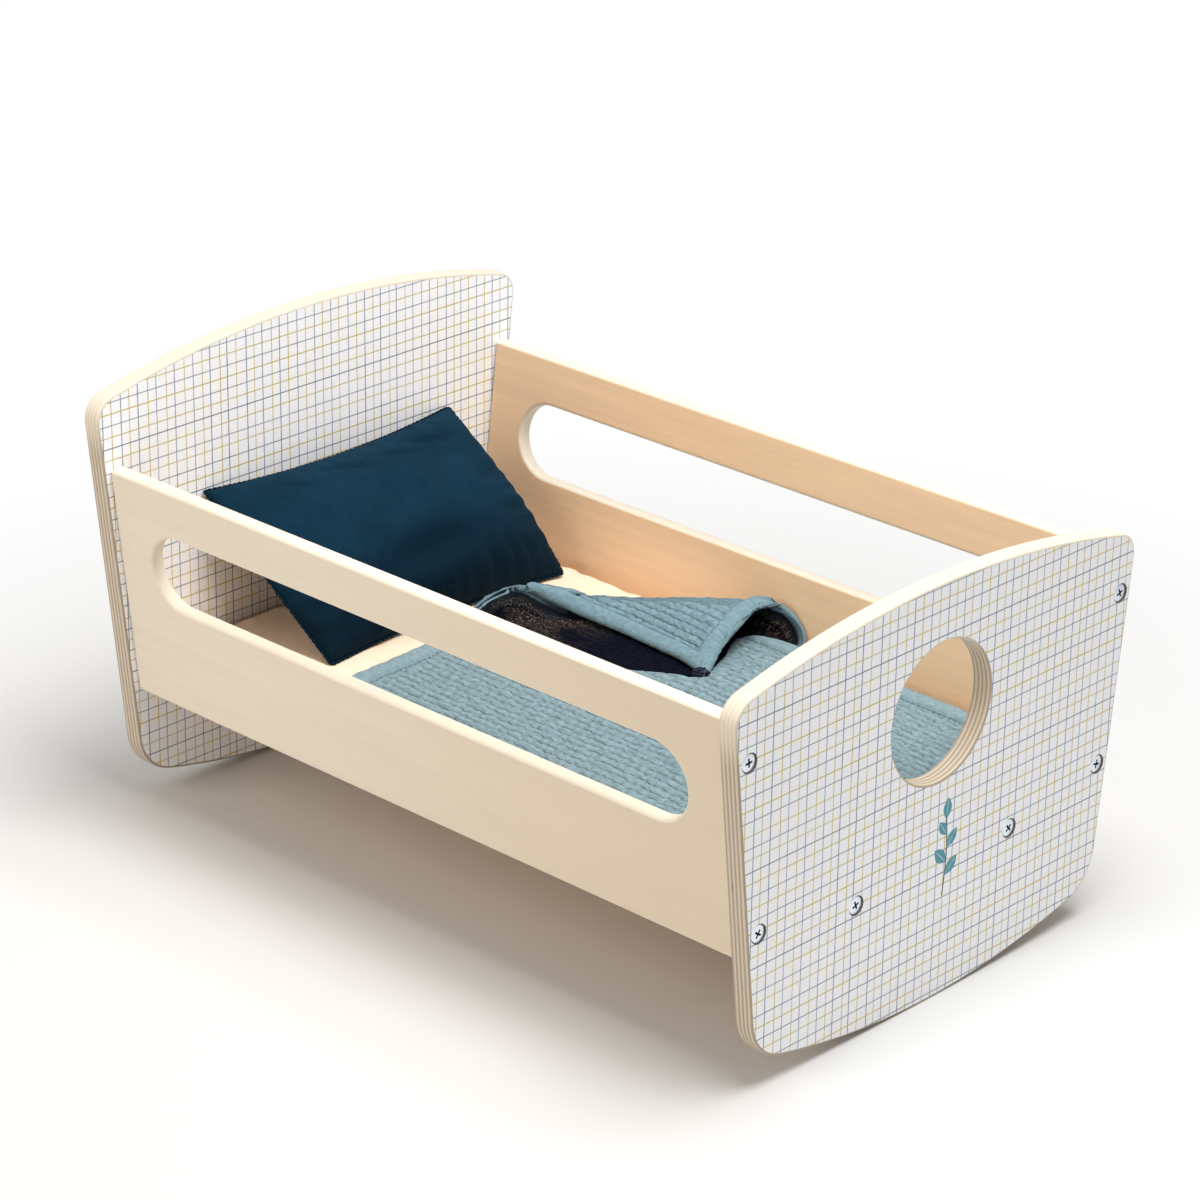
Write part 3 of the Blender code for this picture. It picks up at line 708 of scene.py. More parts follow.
class COT_OT_side_panels(bpy.types.Operator):
    """Model the slanted side panels with their handle slots"""

    bl_idname = "cot.side_panels"
    bl_label = "Side panels"

    def execute(self, context):
        boards = context.scene.cot_boards
        for word, side in (("left", -1), ("right", 1)):
            node = "side_panel_" + word
            low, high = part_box(node)
            outer = boards.floor_half_width - boards.panel_inset + math.tan(boards.taper) * PANEL_BOTTOM
            centre = side * (outer - boards.panel_thickness / 2)
            deselect()
            bpy.ops.mesh.primitive_cube_add(
                size=1, location=(centre, 0, PANEL_BOTTOM + boards.panel_height / 2),
                scale=(boards.panel_thickness, high.y - low.y, boards.panel_height))
            panel = named(word + "_panel")
            radius = boards.slot_height / 2
            near = INNER_FOOT + boards.slot_margin + radius
            far = INNER_HEAD - boards.slot_margin - radius
            middle = PANEL_BOTTOM + boards.slot_rise
            reach = 0.01
            x = centre - reach
            pen = Pen("slot", (x, near, middle - radius))
            pen.run((x, far, middle - radius))
            pen.sweep((x, far, middle), math.pi, SLOT_STEPS, axis=(-1, 0, 0))
            pen.run((x, near, middle + radius))
            pen.sweep((x, near, middle), math.pi, SLOT_STEPS, axis=(-1, 0, 0))
            cut_away(panel, pen.fill((2 * reach, 0, 0)))
            round_rims(panel, boards.panel_rounding, segments=4)
            only(panel)
            bpy.ops.object.mode_set(mode="EDIT")
            bpy.ops.mesh.select_all(action="SELECT")
            bpy.ops.transform.rotate(value=side * -boards.taper, orient_axis="Y", orient_type="GLOBAL",
                                     center_override=(side * outer, 0, PANEL_BOTTOM))
            bpy.ops.object.mode_set(mode="OBJECT")
            made_low, made_high = box_of(panel)
            if max((made_low - low).length, (made_high - high).length) > PANEL_TOLERANCE:
                raise RuntimeError(f"{word} panel is out of place: {made_low} {made_high}, not {low} {high}")
            finish_board(panel)
            # The outer face darkens towards the foot end: painted shade
            outer_face = bare_wood(word + "_panel_outside", boards.cream, toned(boards.cream, 0.94), cover=foot_end_shade)
            # The inner face takes the warmer birch: painted bounce light from the mattress
            inner_face = bare_wood(word + "_panel_inside", boards.bounce_warmed, toned(boards.bounce_warmed, 0.90))
            rims = bare_wood(word + "_panel_rims", toned(boards.cream, 1.04), toned(boards.cream, 0.95))
            outward = Vector((side * math.cos(boards.taper), 0, -math.sin(boards.taper)))

            def choose(face, outward=outward):
                facing = face.normal.dot(outward)
                return 0 if facing > FACING else 1 if facing < -FACING else 2

            paint_faces(panel, (outer_face, inner_face, rims), choose)
            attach(panel, "cot_frame")
            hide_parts(node)
        return {"FINISHED"}


BASE_ROUNDING = 0.0006


class COT_OT_base_board(bpy.types.Operator):
    """Model the base board between the side panels"""

    bl_idname = "cot.base_board"
    bl_label = "Base board"

    def execute(self, context):
        boards = context.scene.cot_boards
        width = BASE_HIGH.x - BASE_LOW.x
        thickness = BASE_HIGH.z - BASE_LOW.z
        deselect()
        bpy.ops.mesh.primitive_cube_add(
            size=1, location=(0, (BASE_LOW.y + BASE_HIGH.y) / 2, (BASE_LOW.z + BASE_HIGH.z) / 2),
            scale=(width, BASE_HIGH.y - BASE_LOW.y, thickness))
        board = named("base_panel")
        narrower = 2 * math.tan(boards.taper) * thickness
        bpy.ops.object.mode_set(mode="EDIT")
        bpy.ops.mesh.select_mode(type="FACE")
        bpy.ops.mesh.select_all(action="DESELECT")
        bpy.ops.object.mode_set(mode="OBJECT")
        for face in board.data.polygons:
            face.select = face.normal.z < -0.5
        bpy.ops.object.mode_set(mode="EDIT")
        bpy.ops.transform.resize(value=((width - narrower) / width, 1, 1))
        bpy.ops.mesh.select_mode(type="VERT")
        bpy.ops.object.mode_set(mode="OBJECT")
        round_rims(board, BASE_ROUNDING, segments=2)
        finish_board(board)
        # The base board takes the same warmer birch: painted bounce light
        paint_faces(board, (bare_wood("base_birch", boards.bounce_warmed, toned(boards.bounce_warmed, 0.88)),), lambda face: 0)
        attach(board, "cot_frame")
        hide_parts("base_board")
        return {"FINISHED"}


SCREW_RADIUS = 0.0050
SHANK_RADIUS = 0.0025
# The head's outline from its middle to its rim: (share of its radius, height over the lathe's level)
HEAD_MIDDLE = 0.00025
HEAD_PROFILE = ((0.45, 0.00018), (0.82, 0.00002), (0.96, -0.00014), (1.0, -0.00034), (0.985, -0.00055))
HEAD_DEPTH = 0.0031
TIP_LENGTH = 0.006
# How deep a screw's head lies in its countersink
SUNK = 0.0006
# The cross recess: half the width of its slots, their reach from the middle, where its cutter starts above the head,
# the cutter's length, and how narrow it gets at its point
CROSS_HALF = 0.00075
CROSS_REACH = 0.0031
CROSS_TOP = 0.001
CROSS_LENGTH = 0.0032
CROSS_POINT = 0.34


class COT_OT_screws(bpy.types.Operator):
    """Model one countersunk cross-head screw and copy it to its twelve places"""

    bl_idname = "cot.screws"
    bl_label = "Screws"

    def execute(self, context):
        low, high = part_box(SCREWS[0])
        length = high.y - low.y
        pen = Pen("zinc_screw", (0, 0, HEAD_MIDDLE))
        for share, height in HEAD_PROFILE:
            pen.run((SCREW_RADIUS * share, 0, height))
        pen.run((SHANK_RADIUS, 0, -HEAD_DEPTH))
        pen.run((SHANK_RADIUS, 0, -length + TIP_LENGTH))
        pen.run((0, 0, -length + 0.0003))
        bpy.ops.mesh.select_all(action="SELECT")
        bpy.ops.mesh.spin(steps=48, angle=math.tau, center=(0, 0, 0), axis=(0, 0, 1))
        bpy.ops.mesh.select_all(action="SELECT")
        bpy.ops.mesh.remove_doubles(threshold=0.00002)
        bpy.ops.mesh.normals_make_consistent(inside=False)
        bpy.ops.object.mode_set(mode="OBJECT")
        screw = pen.obj
        cut_away(screw, self.cross())
        only(screw)
        bpy.ops.object.shade_smooth_by_angle(angle=math.radians(32))
        # Painted shade: the faces deep in the cross recess are dark blue for the shade inside it
        recess = Paint("zinc_recess", roughness=0.6, metallic=0.6)
        recess.colour(recess.mix(recess.noise(recess.place(), 900.0), (0.03, 0.05, 0.08), (0.06, 0.09, 0.13)))

        def choose(face):
            deep = face.center.z > -0.0024 and math.hypot(face.center.x, face.center.y) < 0.0035
            return 1 if deep and not (face.normal.z > 0.8 and face.center.z > -0.0003) else 0

        paint_faces(screw, (zinc_finish(), recess), choose)
        for node in SCREWS:
            spot, outward = screw_spot(node)
            only(screw)
            bpy.ops.object.duplicate()
            copy = bpy.context.object
            copy.name = "zinc_" + node
            copy.data.name = copy.name
            turned = math.radians(20 + 37 * (SCREWS.index(node) % 5))
            copy.rotation_euler = (Matrix.Rotation(outward * -math.pi / 2, 3, "X")
                                   @ Matrix.Rotation(turned, 3, "Z")).to_euler()
            copy.location = (spot.x, spot.y - outward * SUNK, spot.z)
            bpy.ops.object.transform_apply(location=True, rotation=True, scale=True)
            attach(copy, "cot_frame")
            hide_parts(node)
        bpy.data.objects.remove(screw, do_unlink=True)
        return {"FINISHED"}

    def cross(self):
        """The tapered cross of the screw's recess."""
        corners = []
        for turn in range(4):
            cos, sin = round(math.cos(turn * math.pi / 2)), round(math.sin(turn * math.pi / 2))
            for a, b in ((CROSS_REACH, -CROSS_HALF), (CROSS_REACH, CROSS_HALF), (CROSS_HALF, CROSS_HALF)):
                corners.append((a * cos - b * sin, a * sin + b * cos, CROSS_TOP))
        pen = Pen("recess", corners[0])
        for corner in corners[1:]:
            pen.run(corner)
        bpy.ops.mesh.select_all(action="SELECT")
        bpy.ops.mesh.edge_face_add()
        bpy.ops.mesh.extrude_region_move(TRANSFORM_OT_translate={"value": (0, 0, -CROSS_LENGTH)})
        bpy.ops.transform.resize(value=(CROSS_POINT, CROSS_POINT, 1), center_override=(0, 0, CROSS_TOP))
        bpy.ops.mesh.select_all(action="SELECT")
        bpy.ops.mesh.normals_make_consistent(inside=False)
        bpy.ops.object.mode_set(mode="OBJECT")
        return pen.obj


# Bedding


def mesh_object(name, places, faces, flat=None):
    """A mesh of its own from grid code, smooth, with its cloth coordinates as a UV map."""
    mesh = bpy.data.meshes.new(name)
    mesh.from_pydata([tuple(place) for place in places], [], faces)
    mesh.update()
    obj = bpy.data.objects.new(name, mesh)
    bpy.context.scene.collection.objects.link(obj)
    if flat is not None:
        layer = mesh.uv_layers.new(name="UVMap")
        for loop in mesh.loops:
            layer.data[loop.index].uv = flat[loop.vertex_index]
    mesh.shade_smooth()
    return obj


def coordinates(obj):
    places = np.empty(len(obj.data.vertices) * 3)
    obj.data.vertices.foreach_get("co", places)
    return places.reshape(-1, 3)


def normals(obj):
    obj.data.update()
    found = np.empty(len(obj.data.vertices) * 3)
    obj.data.vertices.foreach_get("normal", found)
    return found.reshape(-1, 3)


def set_coordinates(obj, places):
    obj.data.vertices.foreach_set("co", places.ravel())
    obj.data.update()


def smooth_noise(points, seed, scale):
    """Sum of a few waves in fixed odd directions: a soft unevenness from about -1 to 1."""
    source = np.random.default_rng(seed)
    total = np.zeros(len(points))
    for _ in range(7):
        direction = source.normal(size=points.shape[1])
        direction /= np.linalg.norm(direction)
        length = scale * source.uniform(0.7, 1.6)
        total += np.sin(points @ direction * math.tau / length + source.uniform(0, math.tau))
    return total / 3.2


def sewn_case(name, width, depth, cells, thickness):
    """Two flat pieces of cloth that share their outline, a little apart inside it."""
    across, along = cells
    places, flat, index = [], [], {}
    for layer in (1, -1):
        for i in range(across + 1):
            for j in range(along + 1):
                border = i in (0, across) or j in (0, along)
                if border and layer < 0:
                    index[layer, i, j] = index[1, i, j]
                    continue
                index[layer, i, j] = len(places)
                x = width * (i / across - 0.5)
                y = depth * (j / along - 0.5)
                places.append((x, y, 0 if border else layer * thickness / 2))
                flat.append((x + (0 if layer > 0 else 2 * width), y))
    faces = []
    for i in range(across):
        for j in range(along):
            top = [index[1, a, b] for a, b in ((i, j), (i + 1, j), (i + 1, j + 1), (i, j + 1))]
            faces.append(top)
            faces.append([index[-1, a, b] for a, b in ((i, j), (i, j + 1), (i + 1, j + 1), (i + 1, j))])
    return mesh_object(name, places, faces, flat)


CLOTH_STIFFNESS = 14.0


def inflate(obj, pressure, shrink, frames, bending=0.4):
    """Fills the case by cloth simulation, without gravity, and keeps its shape at the last frame."""
    only(obj)
    modifier = obj.modifiers.new("filling", "CLOTH")
    cloth = modifier.settings
    cloth.quality = 6
    cloth.mass = 0.25
    cloth.tension_stiffness = cloth.compression_stiffness = CLOTH_STIFFNESS
    cloth.shear_stiffness = CLOTH_STIFFNESS * 0.6
    cloth.bending_stiffness = bending
    cloth.use_pressure = True
    cloth.uniform_pressure_force = pressure
    cloth.shrink_min = shrink
    cloth.effector_weights.gravity = 0
    modifier.collision_settings.use_collision = False
    scene = bpy.context.scene
    for number in range(1, frames + 1):
        scene.frame_set(number)
    bpy.ops.object.modifier_apply(modifier=modifier.name)
    scene.frame_set(1)


# Heights over the base board: of the mattress's sewn edge, of its top at its edges, and of the cloth laid on that
PAD_SEAM = 0.0055
PAD_EDGE = 0.0100
CLOTH_LEVEL = 0.0116
# How much the mattress's top rises to its middle, and the radius of its rounded edges
PAD_RISE = 0.0048
PAD_ROUND = 0.0052


def crowned(u, v):
    """Rise of the mattress's top, where u and v run from 0 at its middle to 1 at its edges."""
    return PAD_RISE * (1 - u**4) * (1 - v**4)


class COT_OT_mattress(bpy.types.Operator):
    """Model the thin mattress by filling its cotton case"""

    bl_idname = "cot.mattress"
    bl_label = "Mattress"

    def execute(self, context):
        look = context.scene.cot_bedding
        size = PAD_HIGH - PAD_LOW
        case = sewn_case("cotton_mattress", size.x, size.y, (74, 132), 0.004)
        inflate(case, 2.2, 0.0, frames=14, bending=0.3)
        places = coordinates(case)
        half_x, half_y = size.x / 2, size.y / 2
        # The filled case is fitted between the base board and the crown of the pad, with rounded edges
        u = np.clip(np.abs(places[:, 0]) / half_x, 0, 1)
        v = np.clip(np.abs(places[:, 1]) / half_y, 0, 1)
        inside = np.minimum((1 - u) * half_x, (1 - v) * half_y) / PAD_ROUND
        fullness = np.sqrt(np.clip(1 - (1 - np.minimum(inside, 1)) ** 2, 0, 1))
        crown = PAD_EDGE + crowned(u, v)
        upper = places[:, 2] > 0
        ripple = smooth_noise(places[:, :2], 5, 0.020) * 0.00035 + smooth_noise(places[:, :2], 6, 0.045) * 0.0005
        puckers = self.puckers(places, half_x, half_y)
        top = PAD_SEAM + (crown - PAD_SEAM) * fullness + (ripple + puckers) * fullness
        bottom = PAD_SEAM * (1 - fullness)
        places[:, 2] = np.where(upper, top, bottom)
        border = np.minimum((1 - u) * half_x, (1 - v) * half_y) < 0.0004
        places[border, 2] = PAD_SEAM
        drawn = 1 - 0.0016 / half_x * (1 - v**2)
        places[:, 0] = np.clip(places[:, 0], -half_x, half_x) * drawn
        places[:, 1] = np.clip(places[:, 1], -half_y, half_y)
        places[:, 0] += (PAD_LOW.x + PAD_HIGH.x) / 2
        places[:, 1] += (PAD_LOW.y + PAD_HIGH.y) / 2
        places[:, 2] += PAD_LOW.z
        set_coordinates(case, places)
        apply_modifier(case, "SUBSURF", "softness", levels=1, render_levels=1)
        paint = cotton("mattress_cotton_weave", look.mattress, toned(look.mattress, 0.95, 0.9, 0.84),
                       weave=0.0011, wrinkles=60.0, roughness=0.88, sheen=0.25)
        case.data.materials.append(paint.material)
        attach(case, "mattress")
        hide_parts("mattress")
        return {"FINISHED"}

    def puckers(self, places, half_x, half_y):
        """Small gathers that run in from the sewn edges."""
        x, y = places[:, 0], places[:, 1]
        from_side = half_x - np.abs(x)
        from_end = half_y - np.abs(y)
        side = np.sin(y * math.tau / 0.017 + 2.1 * np.sin(y * 31)) * np.exp(-from_side / 0.016)
        end = np.sin(x * math.tau / 0.015 + 1.7 * np.sin(x * 37 + 1)) * np.exp(-from_end / 0.018)
        return (side + end) * 0.0005


PILLOW_WIDTH = 0.198
PILLOW_DEPTH = 0.127
PILLOW_LEAN = math.radians(41.4)
FRONT_SWELL = 0.0285
BACK_SWELL = 0.0120
# The seam: its steps, sides, radius, how far its middle stands out of the case's edge, and its stitches' space
SEAM_STEPS = 760
SEAM_SIDES = 8
SEAM_RADIUS = 0.00095
SEAM_OUTSET = 0.0004
SEAM_STITCH = 0.0036
# Soft creases of the pillow's front: place, direction, half length, half width and depth of each
CREASES = (
    ((-0.052, 0.044), -0.50, 0.014, 0.0032, 0.0018), ((-0.012, 0.043), -0.35, 0.016, 0.0034, 0.0022),
    ((0.026, 0.041), -0.30, 0.017, 0.0034, 0.0026), ((0.056, 0.044), -0.20, 0.020, 0.0034, 0.0026),
    ((0.083, 0.010), 0.30, 0.014, 0.0032, 0.0020), ((0.080, -0.018), 0.10, 0.013, 0.0032, 0.0018),
    ((0.040, -0.047), 1.45, 0.012, 0.0030, 0.0020), ((0.058, -0.048), 1.60, 0.013, 0.0032, 0.0024),
    ((0.073, -0.049), 1.75, 0.012, 0.0030, 0.0022), ((0.020, -0.049), 1.50, 0.010, 0.0028, 0.0016),
    ((-0.060, -0.046), 1.30, 0.012, 0.0030, 0.0020), ((-0.078, -0.030), 0.40, 0.012, 0.0032, 0.0018),
    ((-0.002, -0.026), 0.10, 0.036, 0.0110, 0.0062))


class COT_OT_pillow(bpy.types.Operator):
    """Model the pillow by filling its cotton case, and lean it on the headboard"""

    bl_idname = "cot.pillow"
    bl_label = "Pillow"

    def execute(self, context):
        look = context.scene.cot_bedding
        case = sewn_case("cotton_pillow", PILLOW_WIDTH, PILLOW_DEPTH, (84, 54), 0.006)
        inflate(case, 5.0, -0.04, frames=20)
        places, border = self.fitted(case, coordinates(case))
        low = 0.5 - coordinates(case)[:, 1] / PILLOW_DEPTH
        set_coordinates(case, places)
        # Painted shade: how low each point lies, to darken the pillow towards its bottom
        shade_layer = case.data.attributes.new("low", "FLOAT", "POINT")
        shade_layer.data.foreach_set("value", np.clip(low, 0, 1).astype(np.float32))
        only(case)
        run, rise = PILLOW_DEPTH / 2 * math.cos(PILLOW_LEAN), PILLOW_DEPTH / 2 * math.sin(PILLOW_LEAN)
        case.rotation_euler = (PILLOW_LEAN, 0, 0)
        case.location = ((CUSHION_LOW.x + CUSHION_HIGH.x) / 2, INNER_HEAD - 0.0010 - run, PAD_HIGH.z - 0.0014 + rise)
        bpy.ops.object.transform_apply(location=True, rotation=True, scale=True)
        apply_modifier(case, "SUBSURF", "softness", levels=1, render_levels=1)
        seam = self.seam(case, border)
        paint = cotton("pillow_cotton_weave", look.pillow, toned(look.pillow, 0.72),
                       weave=0.0006, wrinkles=90.0, roughness=0.75, sheen=0.0)
        paint.shader.inputs["Specular IOR Level"].default_value = 0.05
        cotton_and_shade = Value(paint, paint.shader.inputs["Base Color"].links[0].from_socket)
        # Painted shade: darker in the creases and towards the pillow's bottom
        cotton_and_shade = paint.mix(paint.fact("crease") * 0.55, cotton_and_shade, toned(look.pillow, 0.35))
        cotton_and_shade = paint.mix(paint.fact("low").between(0.46, 0.92) * 0.85, cotton_and_shade, toned(look.pillow, 0.34))
        paint.colour(cotton_and_shade)
        case.data.materials.append(paint.material)
        stitched = Paint("pillow_seam_cotton", roughness=0.85)
        stitched.shader.inputs["Specular IOR Level"].default_value = 0.05
        fibres = stitched.noise(stitched.place(), 1400.0, 2.0)
        stitched.colour(stitched.mix(fibres, toned(look.pillow, 0.25), toned(look.pillow, 0.6)))
        seam.data.materials.append(stitched.material)
        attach(seam, "pillow")
        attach(case, "pillow")
        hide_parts("pillow")
        return {"FINISHED"}

    def fitted(self, case, places):
        """The filled case, held to the pillow's outline and swell, with gathers along its seams."""
        half_x, half_y = PILLOW_WIDTH / 2, PILLOW_DEPTH / 2
        uv = np.zeros((len(places), 2))
        layer = case.data.uv_layers[0].data
        for loop in case.data.loops:
            uv[loop.vertex_index] = layer[loop.index].uv
        back = uv[:, 0] > PILLOW_WIDTH
        uv[back, 0] -= 2 * PILLOW_WIDTH
        u, v = np.clip(uv[:, 0] / half_x, -1, 1), np.clip(uv[:, 1] / half_y, -1, 1)
        swell = (1 - u**2) * (1 - v**2)
        low = (1 - v) / 2
        front_height = FRONT_SWELL * swell**0.48 * (1 - 0.34 * v * (1 - v**2))
        back_height = BACK_SWELL * swell**0.75
        inner = np.maximum(swell, 0) ** 0.25
        from_end, from_side = half_y - np.abs(uv[:, 1]), half_x - np.abs(uv[:, 0])
        wave_x = np.sin(uv[:, 0] * math.tau / 0.0135 + 2.4 * np.sin(uv[:, 0] * 55 + 1) + uv[:, 1] * 30)
        wave_y = np.sin(uv[:, 1] * math.tau / 0.0125 + 2.2 * np.sin(uv[:, 1] * 70) + uv[:, 0] * 30)
        gathers = wave_x * np.exp(-from_end / 0.013) + wave_y * np.exp(-from_side / 0.012)
        creases = smooth_noise(uv, 11, 0.060) * 0.0011 + smooth_noise(uv, 12, 0.024) * 0.00045
        folds = self.folds(uv)
        gathered = gathers * np.where(v < 0, 0.0021, 0.0012)
        relief = (gathered + creases) * inner + np.where(back, 0, folds) * inner**0.5
        # Painted shade: the depth of the creases, to darken them
        shade_layer = case.data.attributes.new("crease", "FLOAT", "POINT")
        shade_layer.data.foreach_set("value", np.clip(-folds / 0.0026, 0, 1).astype(np.float32))
        # A share of the swell is the simulated filling's own, where the simulation has run
        filled = np.abs(places[:, 2])
        fullest = filled.max()
        shape = np.where(back, -back_height, front_height)
        if fullest > 0.004:
            shape = 0.65 * shape + 0.35 * (filled / fullest) * np.where(back, -BACK_SWELL, 0.0275)
        x = u * half_x + np.where(u > 0, 0.0036, -0.0010) * u**2 * (1 - v**2) * (1 - 0.3 * v)
        x = x * (1 - 0.035 * low) + 0.0079 * low
        y = v * half_y - np.where(v > 0, 0.0064, -0.0045) * v**2 * (1 - u**2)
        seam_wave = 0.0003 * np.sin(uv[:, 0] * math.tau / 0.0075) + 0.0005 * np.sin(uv[:, 1] * math.tau / 0.0082)
        z = shape + np.where(back, -relief, relief)
        seam = swell <= 1e-6
        z[seam] = seam_wave[seam]
        order = np.argsort(np.arctan2(v[seam] * PILLOW_DEPTH, u[seam] * PILLOW_WIDTH))
        return np.column_stack((x, y, z)), np.flatnonzero(seam)[order]

    def folds(self, uv):
        """Depth of the creases over the pillow's front, below zero."""
        height = np.zeros(len(uv))
        for (x, y), turn, length, width, depth in CREASES:
            along = (uv[:, 0] - x) * math.cos(turn) + (uv[:, 1] - y) * math.sin(turn)
            across = (uv[:, 1] - y) * math.cos(turn) - (uv[:, 0] - x) * math.sin(turn)
            height -= depth * np.exp(-(along / length) ** 2 - (across / width) ** 2)
        return height

    def seam(self, case, border):
        """The narrow sewn seam round the pillow, a little uneven from its stitches."""
        middle = coordinates(case)[border]
        closed = np.vstack((middle, middle[:1]))
        lengths = way_along(closed)
        at = np.linspace(0, lengths[-1], SEAM_STEPS, endpoint=False)
        path = np.column_stack([np.interp(at, lengths, closed[:, axis]) for axis in range(3)])
        ahead = np.roll(path, -2, axis=0) - np.roll(path, 2, axis=0)
        ahead /= np.linalg.norm(ahead, axis=1)[:, None]
        outward = path - path.mean(0)
        outward -= ahead * (outward * ahead).sum(1)[:, None]
        outward /= np.linalg.norm(outward, axis=1)[:, None]
        upward = np.cross(ahead, outward)
        width = SEAM_RADIUS * (1 + 0.22 * np.sin(at * math.tau / SEAM_STITCH))
        places, faces = [], []
        for number in range(SEAM_STEPS):
            for side in range(SEAM_SIDES):
                angle = math.tau * side / SEAM_SIDES
                spot = (path[number] + outward[number] * (width[number] * math.cos(angle) + SEAM_OUTSET)
                        + upward[number] * width[number] * 0.7 * math.sin(angle))
                places.append(tuple(spot))
                here, following = number * SEAM_SIDES, (number + 1) % SEAM_STEPS * SEAM_SIDES
                beside = (side + 1) % SEAM_SIDES
                faces.append([here + side, here + beside, following + beside, following + side])
        seam = mesh_object("pillow_seam", places, faces)
        only(seam)
        bpy.ops.object.mode_set(mode="EDIT")
        bpy.ops.mesh.select_all(action="SELECT")
        bpy.ops.mesh.normals_make_consistent(inside=False)
        bpy.ops.object.mode_set(mode="OBJECT")
        return seam


def spline(knots, steps):
    """Points of a smooth curve through the knots, with the given number of steps in each span."""
    knots = np.array(knots, float)
    ends = np.vstack((2 * knots[0] - knots[1], knots, 2 * knots[-1] - knots[-2]))
    points = []
    for number, count in enumerate(steps):
        a, b, c, d = ends[number:number + 4]
        t = np.arange(count)[:, None] / count
        points.append(0.5 * (2 * b + (c - a) * t + (2 * a - 5 * b + 4 * c - d) * t**2
                             + (3 * b - a - 3 * c + d) * t**3))
    points.append(knots[-1:])
    return np.vstack(points)


def way_along(points):
    """How far each point lies along the line through them."""
    return np.concatenate(([0], np.cumsum(np.linalg.norm(np.diff(points, axis=0), axis=1))))


def bezier(a, b, c, d, t):
    t = np.asarray(t)[:, None]
    return (1 - t) ** 3 * a + 3 * t * (1 - t) ** 2 * b + 3 * t**2 * (1 - t) * c + t**3 * d


